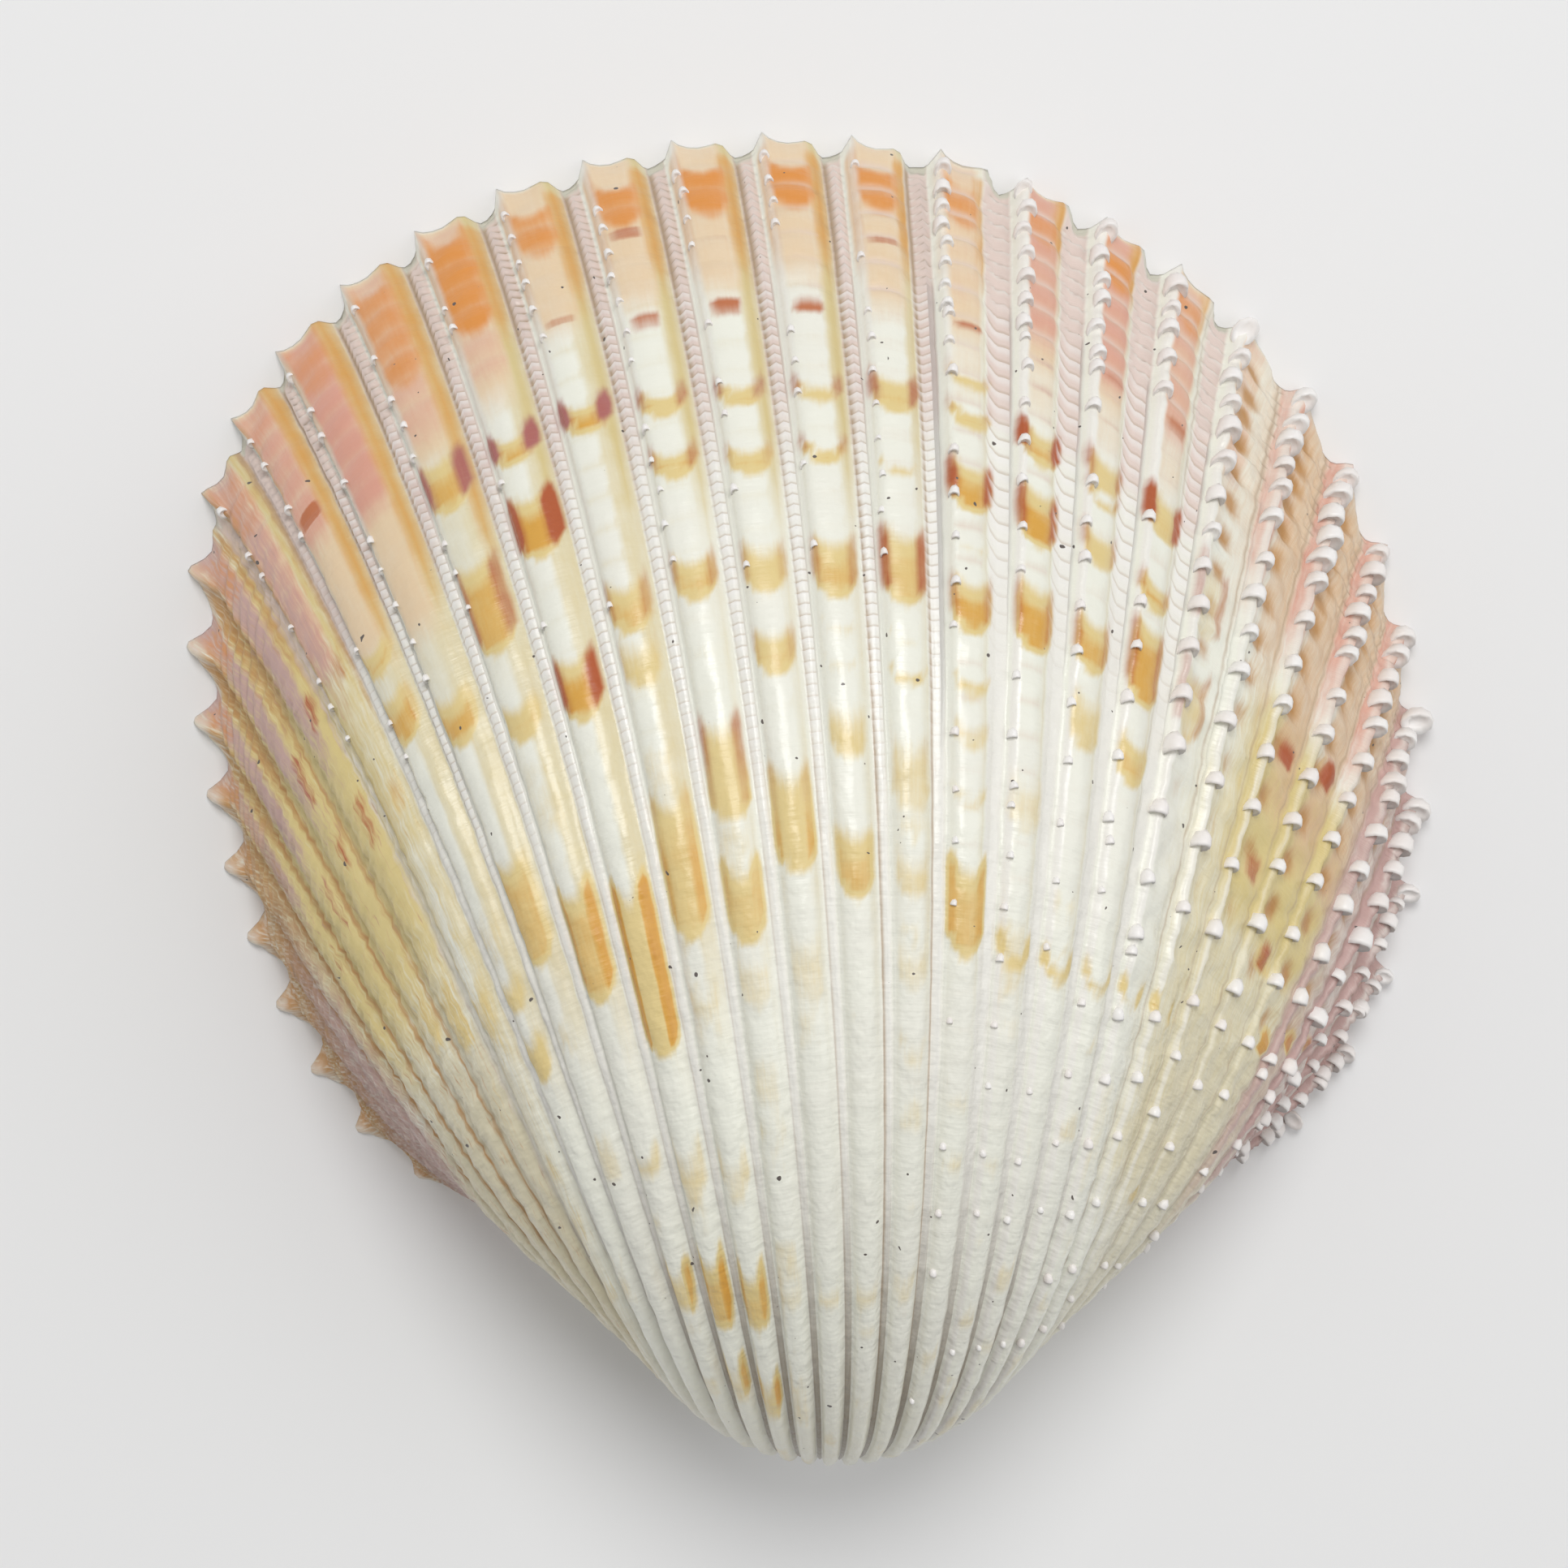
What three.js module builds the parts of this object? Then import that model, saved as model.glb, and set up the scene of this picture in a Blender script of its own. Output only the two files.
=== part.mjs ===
// One valve of a prickly cockle, lying hollow side down on its margin.
// Millimetres, +Z up. The beak points to -Y, the lower margin to +Y; the origin is
// the centre of the footprint on the ground.
import * as THREE from "three";
import { ParametricGeometry } from "three/addons/geometries/ParametricGeometry.js";
import { mergeVertices } from "three/addons/utils/BufferGeometryUtils.js";

// Margin outline seen from above, from the left end of the hinge round to the right end.
// The hinge axis is the line y = 0, which the whole shell grows round.
const MARGIN = [
  [-12.2, 0.9],
  [-17.8, 5.2],
  [-21.5, 11.2],
  [-23.9, 18.5],
  [-24.9, 27.5],
  [-23.8, 34.2],
  [-20.2, 39.5],
  [-14.4, 43.6],
  [-7.4, 45.9],
  [-0.5, 46.4],
  [7.0, 45.1],
  [13.5, 41.7],
  [19.2, 36.7],
  [22.9, 30.2],
  [24.6, 22.5],
  [24.0, 14.0],
  [20.6, 6.4],
  [14.6, 1.6],
  [11.4, 0.9],
];
const HINGE_GROOVE = 0.9; // height of the groove left along the hinge axis, under the beak

// Growth: each older ring is the same outline, smaller and turned further round the axis.
const GROWTH = 0.65; // natural logarithm of the size gained in one radian of turn
const FLANK_FULLNESS = 0.35; // the older rings are this much wider beside the hinge
const FLANK_PACE = 1.0; // turn over which that widening comes in, radians
const FLANK_WANE = 0.35; // share of that widening lost again towards the beak
const WANE_FROM = 0.9; // turns between which it is lost
const WANE_TO = 1.8;
const FLANK_FROM = 16; // the widening is whole up to this distance from the axis
const FLANK_TO = 38; // and has gone at this one
const BEAK_TURN = 3.0; // turn from the margin back to the tip of the beak, radians
const BEAK_START = 2.0; // turn at which the rings begin to close on the tip
const BEAK_CENTRE = 35; // distance from the axis of the point they close on, at full size

// Ribs
const RIBS = 37;
const FLANK_RIBS = 13; // the first ribs, on the left flank, are narrower than the rest
const FLANK_PITCH = 3.06;
const RIB_HEIGHT = 0.75;
const RIB_END = 2.6; // smooth strip of margin beside each end of the hinge
// Stations across one rib, as a share of its pitch, and the share of its height there.
const RIB_STATIONS = [
  [0.14, 1],
  [0.6, 1],
  [0.87, 0],
];

// Inside
const WALL = 2.3;
const HOLLOW_CENTRE = 26; // distance from the axis of the middle of the hollow
const HOLLOW_RADIUS = 24;
const HOLLOW_TURN = 2.15; // how far round the axis the hollow reaches under the beak
const HOLLOW_CLOSE = 1.3; // turn at which it starts to close
const HINGE_PLATE = 2.4; // extra width of the wall along the hinge
const HINGE_LIFT = 0.9; // the hinge plate stands this far above the resting plane

const OUTER_ROWS = 28;
const INNER_ROWS = 10;
const HINGE_STATIONS = 5;

const AXIS = new THREE.Vector3(1, 0, 0);

const curve = new THREE.CatmullRomCurve3(
  MARGIN.map(([x, y]) => new THREE.Vector3(x, y, 0)),
  false,
  "centripetal",
);
curve.arcLengthDivisions = 2000;
const length = curve.getLength();

// Stations round the margin: position, direction along it and share of the rib height.
function marginStations() {
  const stations = [];
  const add = (along, rise) => {
    const p = curve.getPointAt(along / length);
    const d = curve.getTangentAt(along / length);
    stations.push({ x: p.x, y: p.y, dx: d.x, dy: d.y, rise });
  };
  const ribbed = length - 2 * RIB_END;
  const widePitch = (ribbed - FLANK_RIBS * FLANK_PITCH) / (RIBS - FLANK_RIBS);
  let start = RIB_END;
  add(0, 0);
  add(RIB_END * 0.6, 0);
  for (let rib = 0; rib < RIBS; rib++) {
    const pitch = rib < FLANK_RIBS ? FLANK_PITCH : widePitch;
    const fade = Math.min(1, (rib + 1) / 4, (RIBS - rib) / 4);
    for (const [share, rise] of RIB_STATIONS) add(start + share * pitch, rise * fade);
    start += pitch;
  }
  add(length - RIB_END * 0.5, 0);
  add(length, 0);
  const [first, last] = [MARGIN[0], MARGIN[MARGIN.length - 1]];
  for (let i = 1; i <= HINGE_STATIONS; i++) {
    const x = THREE.MathUtils.lerp(last[0], first[0], i / (HINGE_STATIONS + 1));
    stations.push({ x, y: HINGE_GROOVE, dx: -1, dy: 0, rise: 0 });
  }
  return stations;
}

// How much a ring has closed on its centre: 1 until the turn `start`, 0 at the turn `end`.
function closing(turn, start, end) {
  if (turn <= start) return 1;
  return Math.sqrt(Math.max(0, 1 - ((turn - start) / (end - start)) ** 2));
}

// A point (x, y) of the margin plane, shrunk and turned back to an older ring.
function grown(x, y, turn) {
  const size = Math.exp(-GROWTH * turn);
  return new THREE.Vector3(x * size, y * size, 0).applyAxisAngle(AXIS, turn);
}

// The smooth surface under the ribs.
function skin(s, turn) {
  const side = 1 - THREE.MathUtils.smoothstep(s.y, FLANK_FROM, FLANK_TO);
  const wane = 1 - FLANK_WANE * THREE.MathUtils.smoothstep(turn, WANE_FROM, WANE_TO);
  const wide = 1 + FLANK_FULLNESS * side * wane * (1 - Math.exp(-turn / FLANK_PACE));
  const open = closing(turn, BEAK_START, BEAK_TURN);
  return grown(s.x * wide * open, BEAK_CENTRE + (s.y - BEAK_CENTRE) * open, turn);
}

function outerPoint(s, turn) {
  const point = skin(s, turn);
  if (!s.rise) return point;
  // Outward direction of the surface; on the margin itself it stays in the resting plane.
  const step = 0.05;
  const next = { x: s.x + s.dx * step, y: s.y + s.dy * step };
  const along = skin(next, turn).sub(point);
  const back = skin(s, turn + 0.001).sub(point);
  const out =
    turn === 0 ? new THREE.Vector3(-s.dy, s.dx, 0) : along.cross(back).normalize();
  const open = closing(turn, BEAK_START, BEAK_TURN);
  const rise = s.rise * RIB_HEIGHT * Math.exp(-GROWTH * turn) * open;
  return point.addScaledVector(out, rise);
}

function innerPoint(s, turn) {
  const thick = (WALL * Math.exp(GROWTH * turn)) / HOLLOW_RADIUS;
  const open = closing(turn, HOLLOW_CLOSE, HOLLOW_TURN) * (1 - thick);
  const near = 1 - THREE.MathUtils.smoothstep(s.y, 0, 12);
  const side = 1 - THREE.MathUtils.smoothstep(s.y, FLANK_FROM, FLANK_TO);
  const wane = 1 - FLANK_WANE * THREE.MathUtils.smoothstep(turn, WANE_FROM, WANE_TO);
  const wide = 1 + FLANK_FULLNESS * side * wane * (1 - Math.exp(-turn / FLANK_PACE));
  const x = s.x * wide * open;
  const y = HOLLOW_CENTRE + (s.y - HOLLOW_CENTRE) * open + HINGE_PLATE * near * open;
  const point = grown(x, y, turn);
  const middle = 1 - THREE.MathUtils.smoothstep(s.y, 0.9, 6);
  point.z += HINGE_LIFT * middle * open;
  return point;
}

// One closed surface: out of the beak, down the outside to the margin, across the flat
// rim, and up the inside to the top of the hollow.
function valveGeometry() {
  const stations = marginStations();
  const columns = stations.length;
  const rows = OUTER_ROWS + 1 + INNER_ROWS;
  const surface = new ParametricGeometry(
    (u, v, target) => {
      const s = stations[Math.round(u * columns) % columns];
      const row = Math.round(v * rows);
      if (row <= OUTER_ROWS) {
        const back = 1 - row / OUTER_ROWS;
        target.copy(outerPoint(s, BEAK_TURN * Math.sin((back * Math.PI) / 2) ** 1.15));
      } else {
        const back = (row - OUTER_ROWS - 1) / INNER_ROWS;
        target.copy(innerPoint(s, HOLLOW_TURN * back ** 0.9));
      }
    },
    columns,
    rows,
  );
  return weld(surface);
}

// Merge the seam and the two poles, and drop the triangles that close up there.
function weld(surface) {
  surface.deleteAttribute("normal");
  surface.deleteAttribute("uv");
  const merged = mergeVertices(surface, 1e-3);
  const index = merged.index.array;
  const kept = [];
  for (let i = 0; i < index.length; i += 3) {
    const [a, b, c] = [index[i], index[i + 1], index[i + 2]];
    if (a !== b && b !== c && c !== a) kept.push(a, b, c);
  }
  merged.setIndex(kept);
  merged.computeBoundingBox();
  const middle = merged.boundingBox.getCenter(new THREE.Vector3());
  merged.translate(-middle.x, -middle.y, 0);
  merged.computeVertexNormals();
  return merged;
}

const shellMaterial = new THREE.MeshStandardMaterial({
  color: 0xf1dcc4,
  roughness: 0.5,
  metalness: 0,
});

const shell = new THREE.Group();
shell.name = "cockle_shell";
const valve = new THREE.Mesh(valveGeometry(), shellMaterial);
valve.name = "valve";
shell.add(valve);

export default shell;
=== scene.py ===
# %% [markdown]
# # One valve of a prickly cockle
#
# A cockle is a pair of domed shells that hinge at the beak. This lesson builds one of them,
# outside up, as it would lie on a table. It has three kinds of detail: the ribbed shell itself,
# the rows of small hollow scales that stand on the ribs, and the bands of pigment that the
# animal laid down as it grew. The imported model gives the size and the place, so the lesson
# starts by loading it and measuring its box.

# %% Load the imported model
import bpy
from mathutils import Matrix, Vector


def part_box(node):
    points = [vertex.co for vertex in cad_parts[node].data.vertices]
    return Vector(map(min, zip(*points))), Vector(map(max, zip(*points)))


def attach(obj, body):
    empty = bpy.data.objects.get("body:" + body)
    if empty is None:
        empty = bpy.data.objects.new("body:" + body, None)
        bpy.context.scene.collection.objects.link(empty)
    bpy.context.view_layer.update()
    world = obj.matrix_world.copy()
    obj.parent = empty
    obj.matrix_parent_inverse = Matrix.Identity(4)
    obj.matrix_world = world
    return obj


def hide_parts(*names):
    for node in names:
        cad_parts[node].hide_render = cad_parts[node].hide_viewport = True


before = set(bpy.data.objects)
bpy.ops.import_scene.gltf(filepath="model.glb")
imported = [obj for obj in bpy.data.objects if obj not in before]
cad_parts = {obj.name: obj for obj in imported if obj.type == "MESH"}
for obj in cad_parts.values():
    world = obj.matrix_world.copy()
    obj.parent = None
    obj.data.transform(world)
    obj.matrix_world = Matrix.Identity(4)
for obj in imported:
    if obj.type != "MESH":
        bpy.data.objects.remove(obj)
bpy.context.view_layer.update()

# %% Tools
import math

import bmesh
import bpy
import numpy as np
from mathutils import Matrix, Vector

MM = 0.001
NODE = "valve"
BODY = "root"

# %% [markdown]
# ## The margin and the growth law
#
# A bivalve grows by adding a thin strip round its free edge. Every strip has nearly the same
# outline as the last, a little larger and turned a little further round the hinge. So the
# whole shell follows from one outline, drawn here as a few points from one end of the hinge
# to the other, and from one rule that shrinks and turns it. Drawing the dome by hand would
# be looser, and it would not carry the ribs and the bands along the right paths.

# %% Margin outline
MARGIN = MM * np.array([
    [-12.2, 0.9], [-17.8, 5.2], [-21.5, 11.2], [-23.9, 18.5], [-24.9, 27.5],
    [-23.8, 34.2], [-20.2, 39.5], [-14.4, 43.6], [-7.4, 45.9], [-0.5, 46.4],
    [7.0, 45.1], [13.5, 41.7], [19.2, 36.7], [22.9, 30.2], [24.6, 22.5],
    [24.0, 14.0], [20.6, 6.4], [14.6, 1.6], [11.4, 0.9],
])
HINGE_GROOVE = 0.9 * MM


def smooth_curve(points, steps=80):
    """Close points on a centripetal Catmull-Rom curve through the given ones."""
    before = 2 * points[0] - points[1]
    after = 2 * points[-1] - points[-2]
    run = np.vstack([before, points, after])
    t = np.linspace(0, 1, steps, endpoint=False)[:, None]
    pieces = []
    for a, b, c, d in zip(run, run[1:], run[2:], run[3:]):
        ab, bc, cd = (np.sqrt(np.linalg.norm(gap)) for gap in (b - a, c - b, d - c))
        leave = ((b - a) / ab - (c - a) / (ab + bc) + (c - b) / bc) * bc
        arrive = ((c - b) / bc - (d - b) / (bc + cd) + (d - c) / cd) * bc
        square = 3 * (c - b) - 2 * leave - arrive
        cube = 2 * (b - c) + leave + arrive
        pieces.append(b + leave * t + square * t**2 + cube * t**3)
    return np.vstack([*pieces, points[-1:]])


curve = smooth_curve(MARGIN)
travelled = np.concatenate([[0], np.cumsum(np.linalg.norm(np.diff(curve, axis=0), axis=1))])
margin_length = travelled[-1]
curve_run = np.gradient(curve, travelled, axis=0)
curve_run /= np.linalg.norm(curve_run, axis=1, keepdims=True)
print(f"margin: {margin_length / MM:.1f} mm round")


def margin_at(along):
    """Position and direction of the margin at distances along it: x, y, dx, dy."""
    return [np.interp(along, travelled, values) for values in (*curve.T, *curve_run.T)]


# %% Growth law
GROWTH = 0.65  # natural logarithm of the size gained in one radian of turn
FLANK_FULLNESS = 0.35  # older rings are this much wider beside the hinge
FLANK_FROM, FLANK_TO = 16 * MM, 38 * MM
FLANK_WANE, WANE_FROM, WANE_TO = 0.35, 0.9, 1.8  # share lost again, between these turns
BEAK_START, BEAK_TURN = 2.0, 3.0
BEAK_CENTRE = 35 * MM
REACH = MARGIN[:, 1].max()
FULL_PATH = REACH * math.hypot(1, GROWTH) / GROWTH


def smoothstep(value, low, high):
    share = np.clip((value - low) / (high - low), 0, 1)
    return share * share * (3 - 2 * share)


def turn_at(growth):
    """Turn round the hinge of the ring that lies `growth` metres back from the margin."""
    return -np.log(1 - growth / FULL_PATH) / GROWTH


def closing(turn, start, end):
    share = np.clip((turn - start) / (end - start), 0, 1)
    return np.sqrt(1 - share**2)


def grown(x, y, turn):
    size = np.exp(-GROWTH * turn)
    sides = np.broadcast_arrays(x * size, y * size * np.cos(turn), y * size * np.sin(turn))
    return np.stack(sides, axis=-1)


def widening(y, turn):
    beside_hinge = 1 - smoothstep(y, FLANK_FROM, FLANK_TO)
    wane = 1 - FLANK_WANE * smoothstep(turn, WANE_FROM, WANE_TO)
    return 1 + FLANK_FULLNESS * beside_hinge * wane * (1 - np.exp(-turn))


def skin(x, y, turn):
    """The smooth outside of the shell, before its ribs."""
    opening = closing(turn, BEAK_START, BEAK_TURN)
    depth = BEAK_CENTRE + (y - BEAK_CENTRE) * opening
    return grown(x * widening(y, turn) * opening, depth, turn)


# %% [markdown]
# ## Ribs
#
# Thirty-seven ribs fan out from the beak. Each has a steep side towards the left with a thin
# crest on it, a broad top, and a gentle slope on the right, then a narrow groove. The groove
# holds a rope of little plates, one for each pause in growth, sharpest near the margin. The
# ribs of the left flank are keeled and end in hooked teeth. A rib is a list of heights across
# one pitch, and the shell blends between the lists, so no rib is modelled on its own.

# %% Places round the margin
RIBS = 37
CENTRE_RIB = 19  # the rib that runs straight down the middle
FLANK_RIBS = 13  # narrower ribs on the left flank
FLANK_PITCH = 3.06 * MM
RIB_END = 2.6 * MM
ACROSS = [0.0, 0.05, 0.1, 0.17, 0.27, 0.38, 0.49, 0.58, 0.66, 0.74, 0.79, 0.87, 0.95]
END_STATIONS = 4
HINGE_STATIONS = 16

wide_pitch = (margin_length - 2 * RIB_END - FLANK_RIBS * FLANK_PITCH) / (RIBS - FLANK_RIBS)
pitches = np.where(np.arange(RIBS) < FLANK_RIBS, FLANK_PITCH, wide_pitch)
rib_edges = RIB_END + np.concatenate([[0], np.cumsum(pitches)])
print(f"rib pitch: {FLANK_PITCH / MM:.2f} mm on the flank, {wide_pitch / MM:.2f} mm elsewhere")


def along_at(place):
    """Distance along the margin of a rib place: rib number plus share of its pitch."""
    inside = np.interp(place, np.arange(RIBS + 1), rib_edges)
    before = np.minimum(place, 0) * FLANK_PITCH
    after = np.maximum(place - RIBS, 0) * wide_pitch
    return inside + before + after


def ends_fade(place):
    return smoothstep(place, -0.6, 3.0) * (1 - smoothstep(place, RIBS - 3.5, RIBS + 0.3))


# %% Rib profiles
RIB_HEIGHT = 0.8 * MM
MIDDLE_RIB = [0.2, 0.72, 0.98, 1.04, 1.1, 1.08, 0.98, 0.82, 0.58, 0.22, 0.0, 0.16, 0.02]
WIDE_GROOVE = [0.5, 0.95, 1.12, 1.04, 1.0, 0.98, 0.86, 0.5, 0.18, 0.04, 0.0, 0.08, 0.06]
KEELED_RIB = [0.35, 0.75, 0.97, 1.0, 0.95, 0.85, 0.72, 0.58, 0.42, 0.26, 0.14, 0.06, 0.12]
PRICKLY_RIB = [0.4, 0.85, 1.15, 0.92, 0.62, 0.5, 0.42, 0.34, 0.24, 0.14, 0.08, 0.1, 0.2]
OLD_RIB = [0.14, 0.5, 0.8, 0.98, 1.12, 1.14, 1.04, 0.86, 0.6, 0.2, 0.0, 0.06, 0.02]
MIDDLE_TIP = [0.5, 0.95, 1.4, 1.1, 0.9, 0.82, 0.88, 0.95, 0.8, 0.3, -0.05, -0.3, 0.05]
HOOKED_TIP = [1.25, 1.5, 1.62, 1.5, 0.75, 0.28, 0.2, 0.24, 0.36, 0.52, 0.64, 0.85, 1.05]
PRICKLY_TIP = [0.55, 1.0, 1.3, 1.15, 0.9, 0.7, 0.55, 0.38, 0.22, 0.08, 0.0, 0.0, 0.2]


def across(profile, place):
    """The profile's value at each place, read round and round."""
    share = place - np.floor(place)
    return np.interp(share, [*ACROSS, 1.0], [*profile, profile[0]])


def rib_number(place):
    return place - CENTRE_RIB


def by_side(place, left, middle, right):
    """Blends three values: left flank, middle ribs and prickly right side."""
    number = rib_number(place)
    to_left = 1 - smoothstep(number, -10, -6)
    to_right = smoothstep(number, 5, 7)
    return left * to_left + right * to_right + middle * (1 - to_left - to_right)


def rib_rise(place, growth):
    """Height of the ribs as a share of full height, at this place and ring."""
    wide = smoothstep(rib_number(place), 1.2, 2.6)
    middle = across(MIDDLE_RIB, place) * (1 - wide) + across(WIDE_GROOVE, place) * wide
    young = by_side(place, across(KEELED_RIB, place), middle, across(PRICKLY_RIB, place))
    tips = by_side(place, *(across(p, place) for p in (HOOKED_TIP, MIDDLE_TIP, PRICKLY_TIP)))
    age = by_side(place, smoothstep(growth, 3 * MM, 14 * MM), smoothstep(growth, 14 * MM, 34 * MM),
                  smoothstep(growth, 26 * MM, 46 * MM))
    body = young * (1 - age) + across(OLD_RIB, place) * age
    worn = 1 - 0.5 * smoothstep(growth, 12 * MM, 26 * MM) * smoothstep(rib_number(place), 6.5, 9)
    body = body * by_side(place, 0.66, 1.0, 0.95) * worn
    body = body * (1 + 0.7 * smoothstep(growth, 36 * MM, 62 * MM))
    end = 1 - smoothstep(growth, 0.1 * MM, by_side(place, 2.4, 1.5, 1.5) * MM)
    return (body * (1 - end) + tips * end) * ends_fade(place)


# %% [markdown]
# ## Where the scales stand
#
# Prickly cockles carry hollow scales on the crests of their ribs. Their places are drawn here,
# before the surface, because each scale shelters a small pit on the side towards the beak,
# and the pit is part of the surface and of its colour. Going towards the beak the scales get
# smaller and sparser, because they are older and worn.

# %% Places of the scales
CREST = 0.09  # share of the pitch where the crest runs
draw = np.random.default_rng(7)


def pace_at(place, growth):
    """Metres along the surface for each metre of growth at the middle rib."""
    x, y, _, _ = margin_at(along_at(place))
    run = np.sqrt(GROWTH**2 * (x**2 + y**2) + y**2)
    return run / (REACH * math.hypot(1, GROWTH)) * (1 - growth / FULL_PATH)


def row_of_scales(rib, start, end, gap, wide_at_start, wide_at_end, keep=1.0):
    """Place, growth and width of the scales along one crest, all but the rib in millimetres."""
    growth = start + draw.uniform(0, 0.6) * gap
    made = []
    while growth < end:
        share = (growth - start) / (end - start)
        width = (wide_at_start * (1 - share) + wide_at_end * share) * draw.uniform(0.85, 1.15)
        place = CENTRE_RIB + rib + CREST + draw.uniform(-0.025, 0.025)
        if draw.uniform() < keep:
            made.append((place, growth * MM, width * MM))
        growth += gap * draw.uniform(0.85, 1.15) / pace_at(place, growth * MM)
    return made


scale_spots = []
for rib in range(-8, 2):
    scale_spots += row_of_scales(rib, 0.9, 22, 1.3, 0.5, 0.36, 0.62)
for rib, gap in zip(range(2, 6), (1.1, 1.2, 1.3, 1.4)):
    scale_spots += row_of_scales(rib, 0.4, 9, gap, 0.74 + 0.08 * rib, 0.56 + 0.06 * rib)
    scale_spots += row_of_scales(rib, 9, 30, 1.5, 0.42 + 0.07 * rib, 0.34 + 0.03 * rib, 0.8)
    scale_spots += row_of_scales(rib, 30, 58, 1.4, 0.38, 0.28, 0.8)
for rib in range(6, 17):
    widest = 1.2 if rib < 13 else 0.85
    scale_spots += row_of_scales(rib, 0.3, 9, 1.3, widest, 0.9 * widest)
    scale_spots += row_of_scales(rib, 9, 34, 1.65, 0.85 * widest, 0.78)
    scale_spots += row_of_scales(rib, 34, 58, 1.4, 0.58, 0.34, 0.9)
print(f"{len(scale_spots)} scales")

# %% Growth marks
PLATE = 0.47 * MM  # from one plate of the rope to the next
FESTOON = 0.8 * MM  # from one plate to the next between the prickly ribs
ROPE_HEIGHT = 0.5 * MM
ROPE_FADES, ROPE_ENDS = 6.8 * MM, 8.4 * MM  # further back the material draws the plates
RIPPLE = 1.45 * MM  # slow waves of growth across the rib tops
RIPPLE_HEIGHT = 0.15 * MM
PIT_DEPTH = 0.22 * MM
ROPE = [0.05, 0.0, 0.0, 0.0, 0.0, 0.0, 0.0, 0.0, 0.0, 0.0, 0.4, 1.0, 0.65]
BROAD_ROPE = [0.0, 0.0, 0.0, 0.0, 0.0, 0.0, 0.0, 0.1, 0.45, 0.7, 0.8, 0.9, 0.6]

rib_phase = draw.uniform(0, 1, RIBS + 4)


def phase_of(place):
    return rib_phase[np.clip(np.floor(place + 0.02).astype(int) + 2, 0, RIBS + 3)]


def plate_count(place, growth):
    """How many plates of the rope lie between a point and the margin, in parts of a plate."""
    prickly = rib_number(place) > 1.9
    period = np.where(prickly, FESTOON, PLATE)
    sag = np.where(prickly, 10, 2.5) * (place - np.floor(place) - 0.86) ** 2 * MM
    return (growth + sag) / period + phase_of(place)


def plate_step(place, growth):
    """0 to 1 up each plate of the rope, dropping sharply to the next one."""
    count = plate_count(place, growth)
    return 1 - (count - np.floor(count))


def ripple(place, growth):
    """0 in the creases of the rib tops and 1 between them."""
    return np.abs(np.sin(math.pi * (growth / RIPPLE + phase_of(place))))


def beside_scales(place, growth, sideways_at, ahead, spread):
    """1 at a place beside each larger scale of the right side, 0 away from them all."""
    found = np.zeros(np.broadcast(place, growth).shape)
    for spot, back, _ in scale_spots:
        if spot > CENTRE_RIB + 5.5 and back < 36 * MM:
            reach = 1 / pace_at(spot, back)
            sideways = (place - spot - sideways_at) / 0.19
            lengthways = (growth - back - ahead * reach) / (spread * reach)
            found = np.maximum(found, np.exp(-(sideways**2) - lengthways**2))
    return found


def pits(place, growth):
    return beside_scales(place, growth, 0.32, 0.85 * MM, 0.45 * MM)


LUMP_CELLS = draw.uniform(-1, 1, (61, 97))
LUMP_ACROSS, LUMP_ALONG = 4.3, 0.75 * MM  # cells of one pitch, and length of one cell
LUMP_HEIGHT = 0.055 * MM
BUMP_HEIGHT = 0.2 * MM
BRAID, BRAID_HEIGHT = 1.1 * MM, 0.07 * MM  # oblique folds of the left flank


def lumps(place, growth, finer=1.0):
    """Smooth random unevenness from -1 to 1: cells of random height, blended."""
    u, v = place * LUMP_ACROSS * finer + 40, growth / LUMP_ALONG * finer + 3
    column, row = np.floor(u).astype(int), np.floor(v).astype(int)
    s, t = smoothstep(u - column, 0, 1), smoothstep(v - row, 0, 1)
    corners = [LUMP_CELLS[(column + i) % 61, (row + j) % 97] for j in (0, 1) for i in (0, 1)]
    near = corners[0] * (1 - s) + corners[1] * s
    far = corners[2] * (1 - s) + corners[3] * s
    return near * (1 - t) + far * t


def growth_marks(place, growth):
    """Height in metres of the rope in the grooves, the ripples on the ribs and the pits."""
    number = rib_number(place)
    size = by_side(place, 0.12, 1.0, 0.6)
    fresh = 1 - smoothstep(growth, ROPE_FADES, ROPE_ENDS)
    broad = number > 1.9
    rope = np.where(broad, across(BROAD_ROPE, place) * 0.8, across(ROPE, place))
    step = (plate_step(place, growth) - 0.5) * fresh
    rope = rope * size * (0.7 + 0.5 * step) * ROPE_HEIGHT
    top = across(MIDDLE_RIB, place)
    beaded = (0.45 + 0.75 * smoothstep(number, -1, 1)) * (1 - 0.5 * smoothstep(number, 6, 8))
    waves = (ripple(place, growth) - 0.6) * top
    waves = waves * (1 - 0.3 * smoothstep(growth, 16 * MM, 34 * MM))
    waves = waves * beaded * smoothstep(number, -11, -8) * RIPPLE_HEIGHT
    uneven = lumps(place, growth) + 0.5 * lumps(place, growth, 2.1)
    uneven = uneven * by_side(place, 1.1, 0.8, 1.6) * smoothstep(growth, 0, 1.5 * MM) * LUMP_HEIGHT
    uneven = uneven * (1 + smoothstep(growth, 14 * MM, 34 * MM))
    braid = np.sin(2 * math.pi * (growth / BRAID + 1.7 * place)) * BRAID_HEIGHT
    braid = braid * (1 - smoothstep(number, -9, -6.5)) * smoothstep(growth, 1 * MM, 3 * MM)
    bumps = beside_scales(place, growth, 0.52, 0, 0.4 * MM) * BUMP_HEIGHT
    relief = rope + waves + uneven + braid + bumps - pits(place, growth) * PIT_DEPTH
    return relief * ends_fade(place)


# %% The outside surface
OUTWARD_STEP = 0.05 * MM
RIM_ROUND = 1.2 * MM  # over this the relief swings from sideways, on the rim, to outward


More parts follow.
